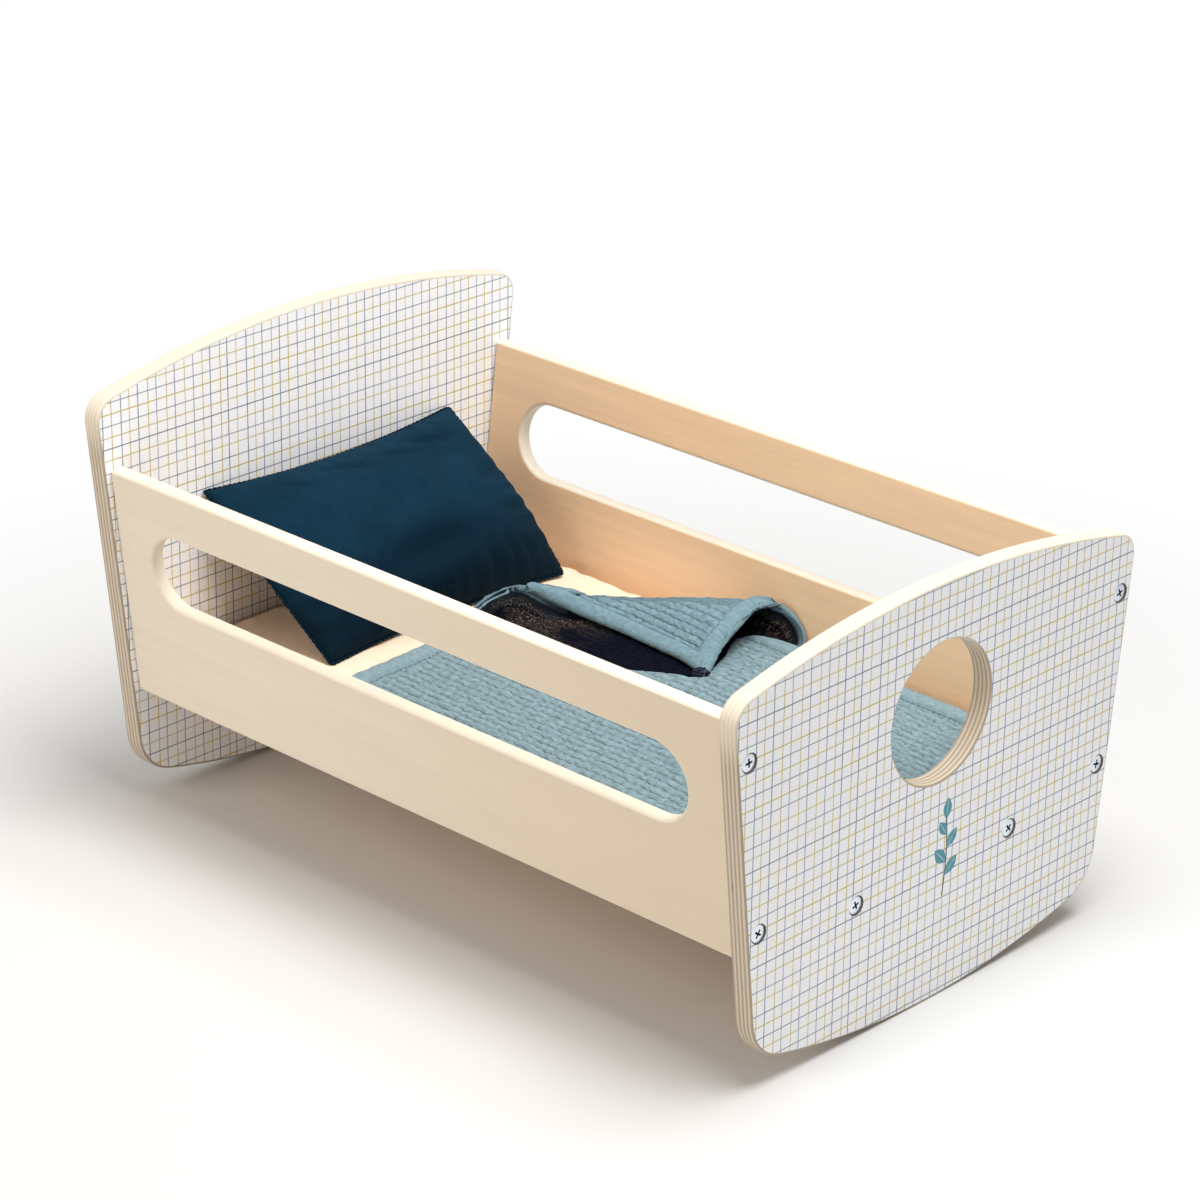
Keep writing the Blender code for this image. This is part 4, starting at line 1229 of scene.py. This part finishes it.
class Cover:
    """Lines that shape the blanket's turned-back corner, in metres; heights are above the level cloth."""

    LEFT = -0.131
    HEM = 0.1098
    # Which knot of the lines below is the flap's tip
    TIP_KNOT = 12
    # Where the level part ends and the cloth starts to rise
    FOOT_LINE = (
        (-0.012, 0.1088), (0.008, 0.106), (0.023, 0.103), (0.035, 0.099), (0.046, 0.093), (0.058, 0.086),
        (0.069, 0.077), (0.079, 0.065), (0.088, 0.052), (0.097, 0.038), (0.105, 0.024), (0.112, 0.011),
        (0.118, 0.000), (0.1215, -0.009), (0.1245, -0.019), (0.1265, -0.029), (0.1285, -0.0375))
    # The highest line of the roll
    CREST = (
        (-0.012, 0.1132, 0.0000), (0.008, 0.1170, 0.0040), (0.023, 0.120, 0.0085), (0.036, 0.117, 0.0135),
        (0.046, 0.110, 0.0175), (0.0565, 0.101, 0.0150), (0.067, 0.090, 0.0120), (0.077, 0.076, 0.0110),
        (0.086, 0.063, 0.0115), (0.0945, 0.048, 0.0135), (0.102, 0.032, 0.0170), (0.109, 0.016, 0.0200),
        (0.1155, 0.003, 0.0220), (0.1205, -0.005, 0.0230), (0.124, -0.010, 0.0238), (0.127, -0.014, 0.0240),
        (0.129, -0.0175, 0.0235))
    # The hem: along the head, down the flap to its tip, and up again to the roll's open end
    HEM_LINE = (
        (-0.012, 0.1134, 0.0000), (0.009, 0.1176, 0.0036), (0.025, 0.1225, 0.0088), (0.0385, 0.120, 0.0140),
        (0.049, 0.1095, 0.0160), (0.0565, 0.0975, 0.0105), (0.0625, 0.084, 0.0055), (0.0655, 0.067, 0.0030),
        (0.0662, 0.048, 0.0022), (0.065, 0.030, 0.0020), (0.0635, 0.012, 0.0020), (0.0615, -0.008, 0.0020),
        (0.0560, -0.0305, 0.0010), (0.0759, -0.0244, 0.0105), (0.093, -0.0215, 0.0184), (0.111, -0.0168, 0.0232),
        (0.129, -0.0175, 0.0235))
    # Edge of the light ply where the dark one shows: from the head hem to the flap's tip, and on beneath the flap
    LIGHT_EDGE = (
        (-0.030, 0.1100), (-0.010, 0.092), (0.004, 0.072), (0.015, 0.045), (0.025, 0.018), (0.035, 0.000),
        (0.0435, -0.0145), (0.052, -0.0265), (0.080, -0.020), (0.105, -0.006), (0.117, -0.006), (0.1262, -0.037))
    # Steps of the cloth from the foot line up to the crest, and from there down to the hem
    WALL = 22
    FLAP = 50
    # Steps of the level part, across and from the foot to the roll: wide ones first, fine ones near the roll
    LEVEL_COLUMNS = 40
    WIDE_SHARE = 0.52
    WIDE_ROWS = 36
    FINE_ROWS = 96
    # Steps of the upper ply, and how much it lies above the lower one
    UPPER_COLUMNS = 250
    UPPER_ROWS = 194
    UPPER_RISE = 0.0017

    def __init__(self):
        self.foot = INNER_FOOT + 0.003
        steps = [9] * self.TIP_KNOT + [19] * 4
        self.foot_line = spline(self.FOOT_LINE, steps)
        self.crest = spline(self.CREST, steps)
        left = spline(self.HEM_LINE[:self.TIP_KNOT + 1], steps[:self.TIP_KNOT])
        front = spline(self.HEM_LINE[self.TIP_KNOT:], steps[self.TIP_KNOT:])
        self.hem_line = np.vstack((left, front[1:]))
        self.turned = np.concatenate(
            [number + np.arange(count) / count for number, count in enumerate(steps)] + [[len(steps)]])
        self.tip_column = len(left) - 1

    def base(self, x, y):
        """Height of the level cloth on the mattress."""
        half_x, half_y = (PAD_HIGH.x - PAD_LOW.x) / 2, (PAD_HIGH.y - PAD_LOW.y) / 2
        u = np.clip(np.abs(x) / half_x, 0, 1)
        v = np.clip(np.abs(y) / half_y, 0, 1)
        return PAD_LOW.z + CLOTH_LEVEL + crowned(u, v)

    def section(self, column):
        """The cloth at one column of the roll: from the foot line up, over the crest and down to the hem."""
        foot = np.append(self.foot_line[column], self.base(*self.foot_line[column]))
        crest = self.crest[column].copy()
        crest[2] += self.base(crest[0], crest[1])
        hem = self.hem_line[column].copy()
        hem[2] += self.base(hem[0], hem[1])
        # How far the cloth has risen into a roll at this column, and how far the roll has opened
        at = self.turned[column]
        rolled = float(np.clip((at - 3) / 3, 0, 1))
        open_end = float(np.clip((at - 10) / 6, 0, 1)) ** 2
        soft_rise = np.array([0, 0.006, 0.0006])
        wall = np.array([0.006, 0.004, 0.003]) * (1 - open_end) + np.array([0.0095, -0.0045, 0.006]) * open_end
        over = np.array([0.0045, 0.003, 0.0005]) * (1 - open_end) + np.array([0.0055, -0.0095, 0.0005]) * open_end
        start = foot + soft_rise * (1 - rolled) + wall * rolled
        below = crest + np.array([0, -0.007, -0.0035]) * (1 - rolled) + over * rolled
        rise = bezier(foot, start, below, crest, np.arange(1, self.WALL + 1) / self.WALL)
        run = hem - crest
        drop = crest[2] - hem[2]
        leave = crest + np.array([run[0] * 0.42, run[1] * 0.42, -0.02 * drop])
        landing = hem - np.array([run[0] * 0.26, run[1] * 0.26, -0.52 * drop * min(1.0, drop / 0.008)])
        fall = bezier(crest, leave, landing, hem, np.arange(1, self.FLAP + 1) / self.FLAP)
        return np.vstack((rise, fall))


class Sheet:
    """Grid points of a cloth sheet, with what its finish needs to know about each."""

    def __init__(self):
        self.places, self.flat, self.facts, self.index, self.faces = [], [], [], {}, []

    def add(self, key, place, flat, ribs, hem, run, soft=0.0):
        """ribs is (across them, along them), hem the distance from a sewn edge and run the way along that edge."""
        self.index[key] = len(self.places)
        self.places.append(place)
        self.flat.append(flat)
        self.facts.append((*ribs, hem, run, soft))

    def join(self, across, along):
        for i in range(across):
            for j in range(along):
                corners = [(i, j), (i + 1, j), (i + 1, j + 1), (i, j + 1)]
                if all(corner in self.index for corner in corners):
                    self.faces.append([self.index[corner] for corner in corners])

    def built(self, name, look, strength):
        sheet = mesh_object(name, self.places, self.faces, self.flat)
        rib, along, hem, run, soft = np.array(self.facts).T
        flat = np.array(self.flat)
        rib = rib + 0.0013 * smooth_noise(flat, 21, 0.060)
        along = along + 0.0010 * smooth_noise(flat, 22, 0.040)
        relief = gauze_relief(look, flat, rib, along, hem, soft)
        set_coordinates(sheet, coordinates(sheet) + normals(sheet) * (relief * strength)[:, None])
        edge = np.clip(hem / 0.0034, 0, 1)
        inner = np.clip((hem - look.hem_width * 0.8) / (look.hem_width * 0.25), 0, 1)
        body = (0.34 + 0.66 * np.sqrt(edge * (2 - edge))) * (1 - inner) + 0.45 * inner
        body = body * (1 - soft) + soft * 0.25
        group = sheet.vertex_groups.new(name="thickness")
        for number, weight in enumerate(body):
            group.add([number], float(np.clip(weight, 0.05, 1)), "REPLACE")
        for title, values in (("rib", rib), ("along", along), ("hem", hem), ("run", run), ("soft", soft)):
            attribute = sheet.data.attributes.new(title, "FLOAT", "POINT")
            attribute.data.foreach_set("value", values.astype(np.float32))
        return sheet


# Space of the gathers along a rib, their shift from rib to rib, and the way from a hem's stitches to full ribs
GATHER_STEP = 0.0066
GATHER_SHIFT = 0.618034
HEM_STEP = 0.003


def gauze_relief(look, flat, rib, along, hem, soft):
    """Height of the quilted, crinkled gauze above its middle sheet."""
    phase = rib / look.rib_pitch
    number = np.floor(phase)
    across = np.abs(phase - number - 0.5) * 2
    tube = np.sqrt(np.clip(1 - across**2, 0, 1))
    gathers = 0.5 + 0.5 * np.sin((along / GATHER_STEP + number * GATHER_SHIFT) * math.tau)
    dents = across**2 * gathers**2
    puffs = smooth_noise(np.column_stack((rib, along * 0.8)), 23, 0.0095)
    fine = smooth_noise(np.column_stack((rib * 1.5, along)), 24, 0.0050)
    even = 0.75 + 0.25 * smooth_noise(flat, 25, 0.080)
    quilted = 0.0013 * tube * even - 0.0011 * dents + 0.00050 * puffs + 0.00020 * fine
    inside = np.clip((hem - look.hem_width) / HEM_STEP, 0, 1)
    band = np.clip(hem / look.hem_width, 0, 1)
    cuff = 0.0022 * np.sqrt(np.clip(1 - (2 * band - 1) ** 2, 0, 1)) + 0.00014 * fine + 0.00022 * puffs
    groove = np.exp(-((hem - look.hem_width) / 0.0012) ** 2)
    relief = quilted * inside + cuff * (1 - inside) - 0.0008 * groove
    return relief * (1 - 0.8 * soft)


TUFT_RADIUS = 0.0046


class COT_OT_blanket(bpy.types.Operator):
    """Model the gauze blanket with its corner turned back"""

    bl_idname = "cot.blanket"
    bl_label = "Blanket"

    def execute(self, context):
        look = context.scene.cot_bedding
        cover = Cover()
        lower = self.lower_ply(cover, look)
        upper = self.upper_ply(cover, look)
        turned = gauze("gauze_turned", look.gauze, 1.0, 0.88, None, None)
        level = gauze("gauze_light", toned(look.gauze, 1.20, 1.10, 1.05), 0.66, 0.45, None, None)
        dark = gauze("gauze_dark", look.gauze_back, 1.0, 0.88, look.fleck, look.gauze)
        for ply, paints, top in ((lower, (turned, dark), 1), (upper, (level, dark), 0)):
            cells = len(ply.data.polygons)
            ply.data.materials.append(paints[top].material)
            ply.data.materials.append(paints[1 - top].material)
            apply_modifier(ply, "SOLIDIFY", "thickness", thickness=look.hem_thickness, offset=0,
                           vertex_group="thickness", thickness_vertex_group=0.0)
            for number, face in enumerate(ply.data.polygons):
                face.material_index = 0 if number < cells else 1 if number < 2 * cells else top
            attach(ply, "blanket")
        self.corner(cover, look)
        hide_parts("blanket")
        return {"FINISHED"}

    def corner(self, cover, look):
        """The crumpled end of the dark ply that peeps out at the flap's tip."""
        x, y, rise = cover.HEM_LINE[cover.TIP_KNOT]
        deselect()
        bpy.ops.mesh.primitive_ico_sphere_add(
            subdivisions=5, radius=TUFT_RADIUS,
            location=(x - 0.0016, y + 0.0022, float(cover.base(x, y)) + rise + 0.0022),
            scale=(1.25, 1.1, 0.72), rotation=(0.2, 0.3, 0.5))
        tuft = named("gauze_corner")
        places = coordinates(tuft)
        folds = np.abs(smooth_noise(places, 31, 0.0034)) * 0.0011 + smooth_noise(places, 32, 0.0014) * 0.00028
        set_coordinates(tuft, places + normals(tuft) * (0.0004 - folds)[:, None])
        tuft.data.shade_smooth()
        paint = Paint("gauze_threads", roughness=0.95)
        paint.shader.inputs["Specular IOR Level"].default_value = 0.08
        fibres = paint.noise(paint.place(scale=(1.0, 1.0, 2.4)), 900.0, 3.0, 0.6, 0.5)
        paint.colour(paint.mix(fibres.between(0.50, 0.66), toned(look.gauze_back, 1.2), toned(look.gauze, 0.5)))
        tuft.data.materials.append(paint.material)
        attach(tuft, "blanket")

    def lower_ply(self, cover, look):
        """The ply with its dark side up, and its head corner rolled up and turned back."""
        sheet = Sheet()
        level_x = np.linspace(cover.LEFT, cover.foot_line[0, 0], cover.LEVEL_COLUMNS)[:-1]
        columns = np.concatenate((level_x, cover.foot_line[:, 0]))
        rows = np.concatenate((np.linspace(0, cover.WIDE_SHARE, cover.WIDE_ROWS)[:-1],
                               np.linspace(cover.WIDE_SHARE, 1, cover.FINE_ROWS)))
        first = len(level_x)
        last = len(cover.foot_line) - 1
        sections = np.array([cover.section(column) for column in range(last + 1)])
        rim = sections[last, ::-1]
        left_hem = cover.hem_line[:cover.tip_column + 1].copy()
        front_hem = cover.hem_line[cover.tip_column:].copy()
        for line in (left_hem, front_hem):
            line[:, 2] += cover.base(line[:, 0], line[:, 1])
        beyond_tip = left_hem[-1] + (left_hem[-1] - left_hem[-4]) * np.arange(1, 12)[:, None]
        from_left, run_left = self.distance(sections, left_hem)
        from_front, run_front = self.distance(sections, np.vstack((front_hem, rim[cover.FLAP:])))
        across_ribs, along_ribs = self.distance(sections, np.vstack((left_hem, beyond_tip)))
        for i, x in enumerate(columns):
            edge_y = float(cover.foot_line[i - first, 1]) if i >= first else float(self.head_edge(cover, x))
            for j, share in enumerate(rows):
                y = cover.foot + (edge_y - cover.foot) * share
                hem = min(x - cover.LEFT, columns[-1] - x, y - cover.foot)
                if i < first:
                    hem = min(hem, edge_y - y)
                else:
                    hem = min(hem, float(from_left[i - first, 0]) + edge_y - y)
                sheet.add((i, j), (x, y, float(cover.base(x, y))), (x, y), (x, y), max(hem, 0.0), y)
            if i < first:
                continue
            flat_y = edge_y
            before = np.array([x, edge_y, float(cover.base(x, edge_y))])
            # Over the roll the ribs turn from the sheet's own direction to run beside the flap's long hem
            for k, spot in enumerate(sections[i - first]):
                flat_y += float(np.linalg.norm(spot - before))
                before = spot
                left, front = from_left[i - first, k], from_front[i - first, k]
                left *= 1.5 if k > cover.WALL else 1.0
                hem, run = (left, run_left[i - first, k]) if left < front else (front, run_front[i - first, k])
                turned = float(np.clip((k - 4) / cover.WALL, 0, 1))
                ribs = (x * (1 - turned) + float(across_ribs[i - first, k]) * turned,
                        flat_y * (1 - turned) - float(along_ribs[i - first, k]) * turned)
                sheet.add((i, len(rows) + k), tuple(spot), (x, flat_y), ribs, float(hem), float(run),
                          0.4 * float(np.clip(1 - abs(k - 8) / 8, 0, 1)))
        sheet.join(len(columns) - 1, len(rows) + cover.WALL + cover.FLAP - 1)
        return sheet.built("gauze_blanket", look, -0.8)

    def head_edge(self, cover, x):
        """Where the level part ends towards the head, left of the roll."""
        near = np.clip((x + 0.050) / (cover.foot_line[0, 0] + 0.050), 0, 1)
        return cover.HEM + (cover.HEM_LINE[0][1] - cover.HEM) * near**2

    def distance(self, places, line):
        """Distance of each place from a line of points, and how far along the line its nearest point is."""
        lengths = way_along(line)
        fine = np.linspace(0, lengths[-1], 500)
        dense = np.column_stack([np.interp(fine, lengths, line[:, axis]) for axis in range(3)])
        flat = places.reshape(-1, 3)
        nearest, runs = np.empty(len(flat)), np.empty(len(flat))
        for start in range(0, len(flat), 2000):
            block = flat[start:start + 2000]
            gaps = np.linalg.norm(block[:, None] - dense[None], axis=2)
            nearest[start:start + 2000] = gaps.min(1)
            runs[start:start + 2000] = fine[gaps.argmin(1)]
        return nearest.reshape(places.shape[:-1]), runs.reshape(places.shape[:-1])

    def upper_ply(self, cover, look):
        """The light ply on top, whose soft edge runs from the head hem to the flap's tip and on beneath the flap."""
        sheet = Sheet()
        right = cover.LIGHT_EDGE[-1][0]
        columns = np.linspace(cover.LEFT, right, cover.UPPER_COLUMNS)
        light_edge = spline(cover.LIGHT_EDGE, [12] * (len(cover.LIGHT_EDGE) - 1))
        corner = cover.LIGHT_EDGE[0][0]
        for i, x in enumerate(columns):
            if x < corner:
                edge, sewn = float(self.head_edge(cover, x)) - 0.0008, True
            else:
                edge, sewn = float(np.interp(x, light_edge[:, 0], light_edge[:, 1])) - 0.0010, False
            for j in range(cover.UPPER_ROWS + 1):
                y = cover.foot + 0.0006 + (edge - cover.foot - 0.0006) * j / cover.UPPER_ROWS
                side = min(x - cover.LEFT, right - x)
                head = edge - y if sewn else 1.0
                hem = max(min(side, head, y - cover.foot), 0.0)
                soft = 0.0 if sewn else float(np.clip(1 - (edge - y) / 0.010, 0, 1)) ** 2
                height = float(cover.base(x, y)) + cover.UPPER_RISE - 0.0006 * soft
                sheet.add((i, j), (x, y, height), (x, y), (x, y), hem, y if hem == side else x, soft)
        sheet.join(len(columns) - 1, cover.UPPER_ROWS)
        return sheet.built("gauze_upper_ply", look, 1.0)


THREAD_STEP = 0.0009
STITCH_STEP = 0.0038


def gauze(name, colour, depth, stitches, fleck, edging):
    """Crinkled cotton gauze with sewn hems: its print's flecks, shown only where that side is lit as painted light,
    and the other ply's colour at its hems.

    depth is the strength of the painted shade in the valleys between its ribs and the dents of its gathers, and
    stitches that of its hems' threads."""
    look = bpy.context.scene.cot_bedding
    paint = Paint(name, roughness=0.93)
    paint.shader.inputs["Sheen Weight"].default_value = 0.0 if fleck else 0.12
    paint.shader.inputs["Specular IOR Level"].default_value = 0.03 if fleck else 0.08
    sheet = paint.flat()
    x, y, _ = paint.split(sheet)
    hem = paint.fact("hem")
    run = paint.fact("run")
    rib = paint.fact("rib")
    along = paint.fact("along")
    firm = 1.0 - paint.fact("soft")
    phase = rib / look.rib_pitch
    number = phase.floor()
    across = abs(phase.part() - 0.5) * 2.0
    gathers = ((along / GATHER_STEP + number * GATHER_SHIFT) * math.tau).wave() * 0.5 + 0.5
    inside = hem.between(look.hem_width, look.hem_width + HEM_STEP) * firm
    # Painted shade: lines in the valleys between the ribs and dents where the gathers pinch them
    dents = across * across * gathers * gathers * inside
    line = across.power(6.0) * inside
    threads = (x * (math.tau / THREAD_STEP)).wave() * 0.5 + (y * (math.tau / THREAD_STEP)).wave() * 0.5
    mottled = paint.noise(sheet, 130.0, 4.0, 0.6)
    crumple = paint.noise(paint.join(rib * 1.6, along, 0.0), 260.0, 4.0, 0.62, 0.5)
    worked = inside * 0.35 + 0.65
    share = (crumple.between(0.36, 0.64) - 0.6) * worked + 0.6
    surface = paint.mix(share, toned(colour, 0.76), toned(colour, 1.10))
    if fleck:
        # Painted light: the flecks are the dark side's real print, kept to a band by the head hem and the roll's open
        # end where that side is lit, and left out elsewhere as painted shade
        spots = paint.noise(sheet, 900.0, 3.0, 0.75)
        patches = paint.noise(sheet, 55.0, 2.0)
        printed = y.between(0.040, 0.085).most(x.between(0.108, 0.113)) * hem.between(0.0050, 0.0095)
        share = spots.between(0.48, 0.61) * patches.between(0.33, 0.53) * printed
        surface = paint.mix(share * 0.75, surface, fleck)
    # Painted shade: darker in the valleys between the ribs and in the gathers' dents
    surface = paint.mix((line * 0.45 + dents * 0.55) * depth, surface, toned(colour, 0.36))
    dash = (run / STITCH_STEP).part() < 0.80
    thread = abs(hem - look.hem_width).between(0.00105, 0.00045) * dash
    surface = paint.mix(thread * stitches, surface, toned(colour, 0.10))
    if edging:
        surface = paint.mix(hem.between(0.0130, 0.0100) * mottled * 0.8 * firm, surface, toned(edging, 0.07))
        wrapped = (hem + mottled * 0.0022).between(0.0056, 0.0034) * firm
        surface = paint.mix(wrapped * 0.8, surface, toned(edging, 0.85))
    paint.colour(surface)
    paint.bump(crumple * worked * 0.8 - line * 0.35 - dents * 0.5 + threads * 0.06, 0.0013)
    return paint


# Stage


CAMERA_RIGHT = (0.69056, -0.72317, 0.01272)
CAMERA_FORWARD = (0.66739, 0.63032, -0.39659)
LAMP_TARGET = (0, 0, 0.1)
# How far from the cot's middle the floor starts to turn white, and where it is white
WHITE_START = 0.30
WHITE_FULL = 0.70


class COT_OT_stage(bpy.types.Operator):
    """Set up the floor, the soft light and the camera"""

    bl_idname = "cot.stage"
    bl_label = "Stage"

    def execute(self, context):
        setup = context.scene.cot_stage
        scene = context.scene
        scene.view_settings.view_transform = "Standard"
        deselect()
        bpy.ops.mesh.primitive_plane_add(size=12)
        floor = named("floor")
        floor.data.materials.append(self.floor_finish())
        self.sky(scene, setup)
        self.lamp("key", setup.key_place, 1.0, setup.key_power, (1.0, 1.0, 1.0))
        self.lamp("fill", setup.fill_place, 1.2, setup.fill_power, setup.fill_colour)
        data = bpy.data.cameras.new("camera")
        data.sensor_width = 36
        data.lens = setup.focal_length
        data.clip_start = 0.05
        camera = bpy.data.objects.new("camera", data)
        scene.collection.objects.link(camera)
        right = Vector(CAMERA_RIGHT)
        forward = Vector(CAMERA_FORWARD).normalized()
        right = (right - forward * right.dot(forward)).normalized()
        up = right.cross(forward)
        turn = Matrix((right, up, -forward)).transposed()
        camera.matrix_world = Matrix.Translation(setup.camera_place) @ turn.to_4x4()
        scene.camera = camera
        return {"FINISHED"}

    def lamp(self, name, place, size, power, colour):
        data = bpy.data.lights.new(name, "AREA")
        data.shape = "DISK"
        data.size = size
        data.energy = power
        data.color = colour
        lamp = bpy.data.objects.new(name, data)
        bpy.context.scene.collection.objects.link(lamp)
        lamp.location = place
        lamp.rotation_euler = (Vector(LAMP_TARGET) - Vector(place)).to_track_quat("-Z", "Y").to_euler()

    def sky(self, scene, setup):
        world = bpy.data.worlds.new("sky")
        world.use_nodes = True
        scene.world = world
        tree = world.node_tree
        back = tree.nodes["Background"]
        path = tree.nodes.new("ShaderNodeLightPath")
        level = tree.nodes.new("ShaderNodeMapRange")
        level.inputs["To Min"].default_value = setup.sky
        level.inputs["To Max"].default_value = 1.0
        seen = path.outputs["Is Camera Ray"]
        for kind in ("Is Glossy Ray", "Is Transmission Ray"):
            most = tree.nodes.new("ShaderNodeMath")
            most.operation = "MAXIMUM"
            tree.links.new(seen, most.inputs[0])
            tree.links.new(path.outputs[kind], most.inputs[1])
            seen = most.outputs[0]
        tree.links.new(seen, level.inputs["Value"])
        tree.links.new(level.outputs[0], back.inputs["Strength"])
        back.inputs["Color"].default_value = (1, 1, 1, 1)

    def floor_finish(self):
        """Pale near the cot, where it takes the shadow, and white further off."""
        paint = Paint("floor", roughness=0.85)
        paint.colour((0.72, 0.718, 0.712))
        paint.shader.inputs["Specular IOR Level"].default_value = 0.1
        x, y, _ = paint.split(paint.place())
        distance = (x * x + y * y).power(0.5)
        camera = paint.node("ShaderNodeLightPath", output="Is Camera Ray")
        share = distance.between(WHITE_START, WHITE_FULL) * camera
        glow = paint.node("ShaderNodeEmission", inputs={"Color": (1, 1, 1), "Strength": 1.0})
        blend = paint.node("ShaderNodeMixShader", inputs={0: share, 2: glow})
        paint.tree.links.new(paint.shader.outputs[0], blend.socket.node.inputs[1])
        paint.tree.links.new(blend.socket, paint.tree.nodes["Material Output"].inputs["Surface"])
        return paint.material


# Add-on


class COT_PT_cot(bpy.types.Panel):
    bl_label = "Doll's cot"
    bl_idname = "COT_PT_cot"
    bl_space_type = "VIEW_3D"
    bl_region_type = "UI"
    bl_category = "Cot"

    def draw(self, context):
        for operator in OPERATORS:
            self.layout.operator(operator.bl_idname)
        for group in GROUPS:
            box = self.layout.box()
            settings = getattr(context.scene, group)
            for name in settings.__annotations__:
                box.prop(settings, name)


OPERATORS = (COT_OT_stage, COT_OT_end_boards, COT_OT_side_panels, COT_OT_base_board, COT_OT_screws, COT_OT_mattress,
             COT_OT_pillow, COT_OT_blanket)


def register():
    for cls in (*GROUPS.values(), *OPERATORS, COT_PT_cot):
        bpy.utils.register_class(cls)
    for name, group in GROUPS.items():
        setattr(bpy.types.Scene, name, PointerProperty(type=group))


def unregister():
    for name in GROUPS:
        delattr(bpy.types.Scene, name)
    for cls in reversed((*GROUPS.values(), *OPERATORS, COT_PT_cot)):
        bpy.utils.unregister_class(cls)


def main():
    register()
    bpy.ops.cot.stage()
    bpy.ops.cot.end_boards()
    bpy.ops.cot.side_panels()
    bpy.ops.cot.base_board()
    bpy.ops.cot.screws()
    bpy.ops.cot.mattress()
    bpy.ops.cot.pillow()
    bpy.ops.cot.blanket()
    deselect()


if __name__ == "__main__":
    main()
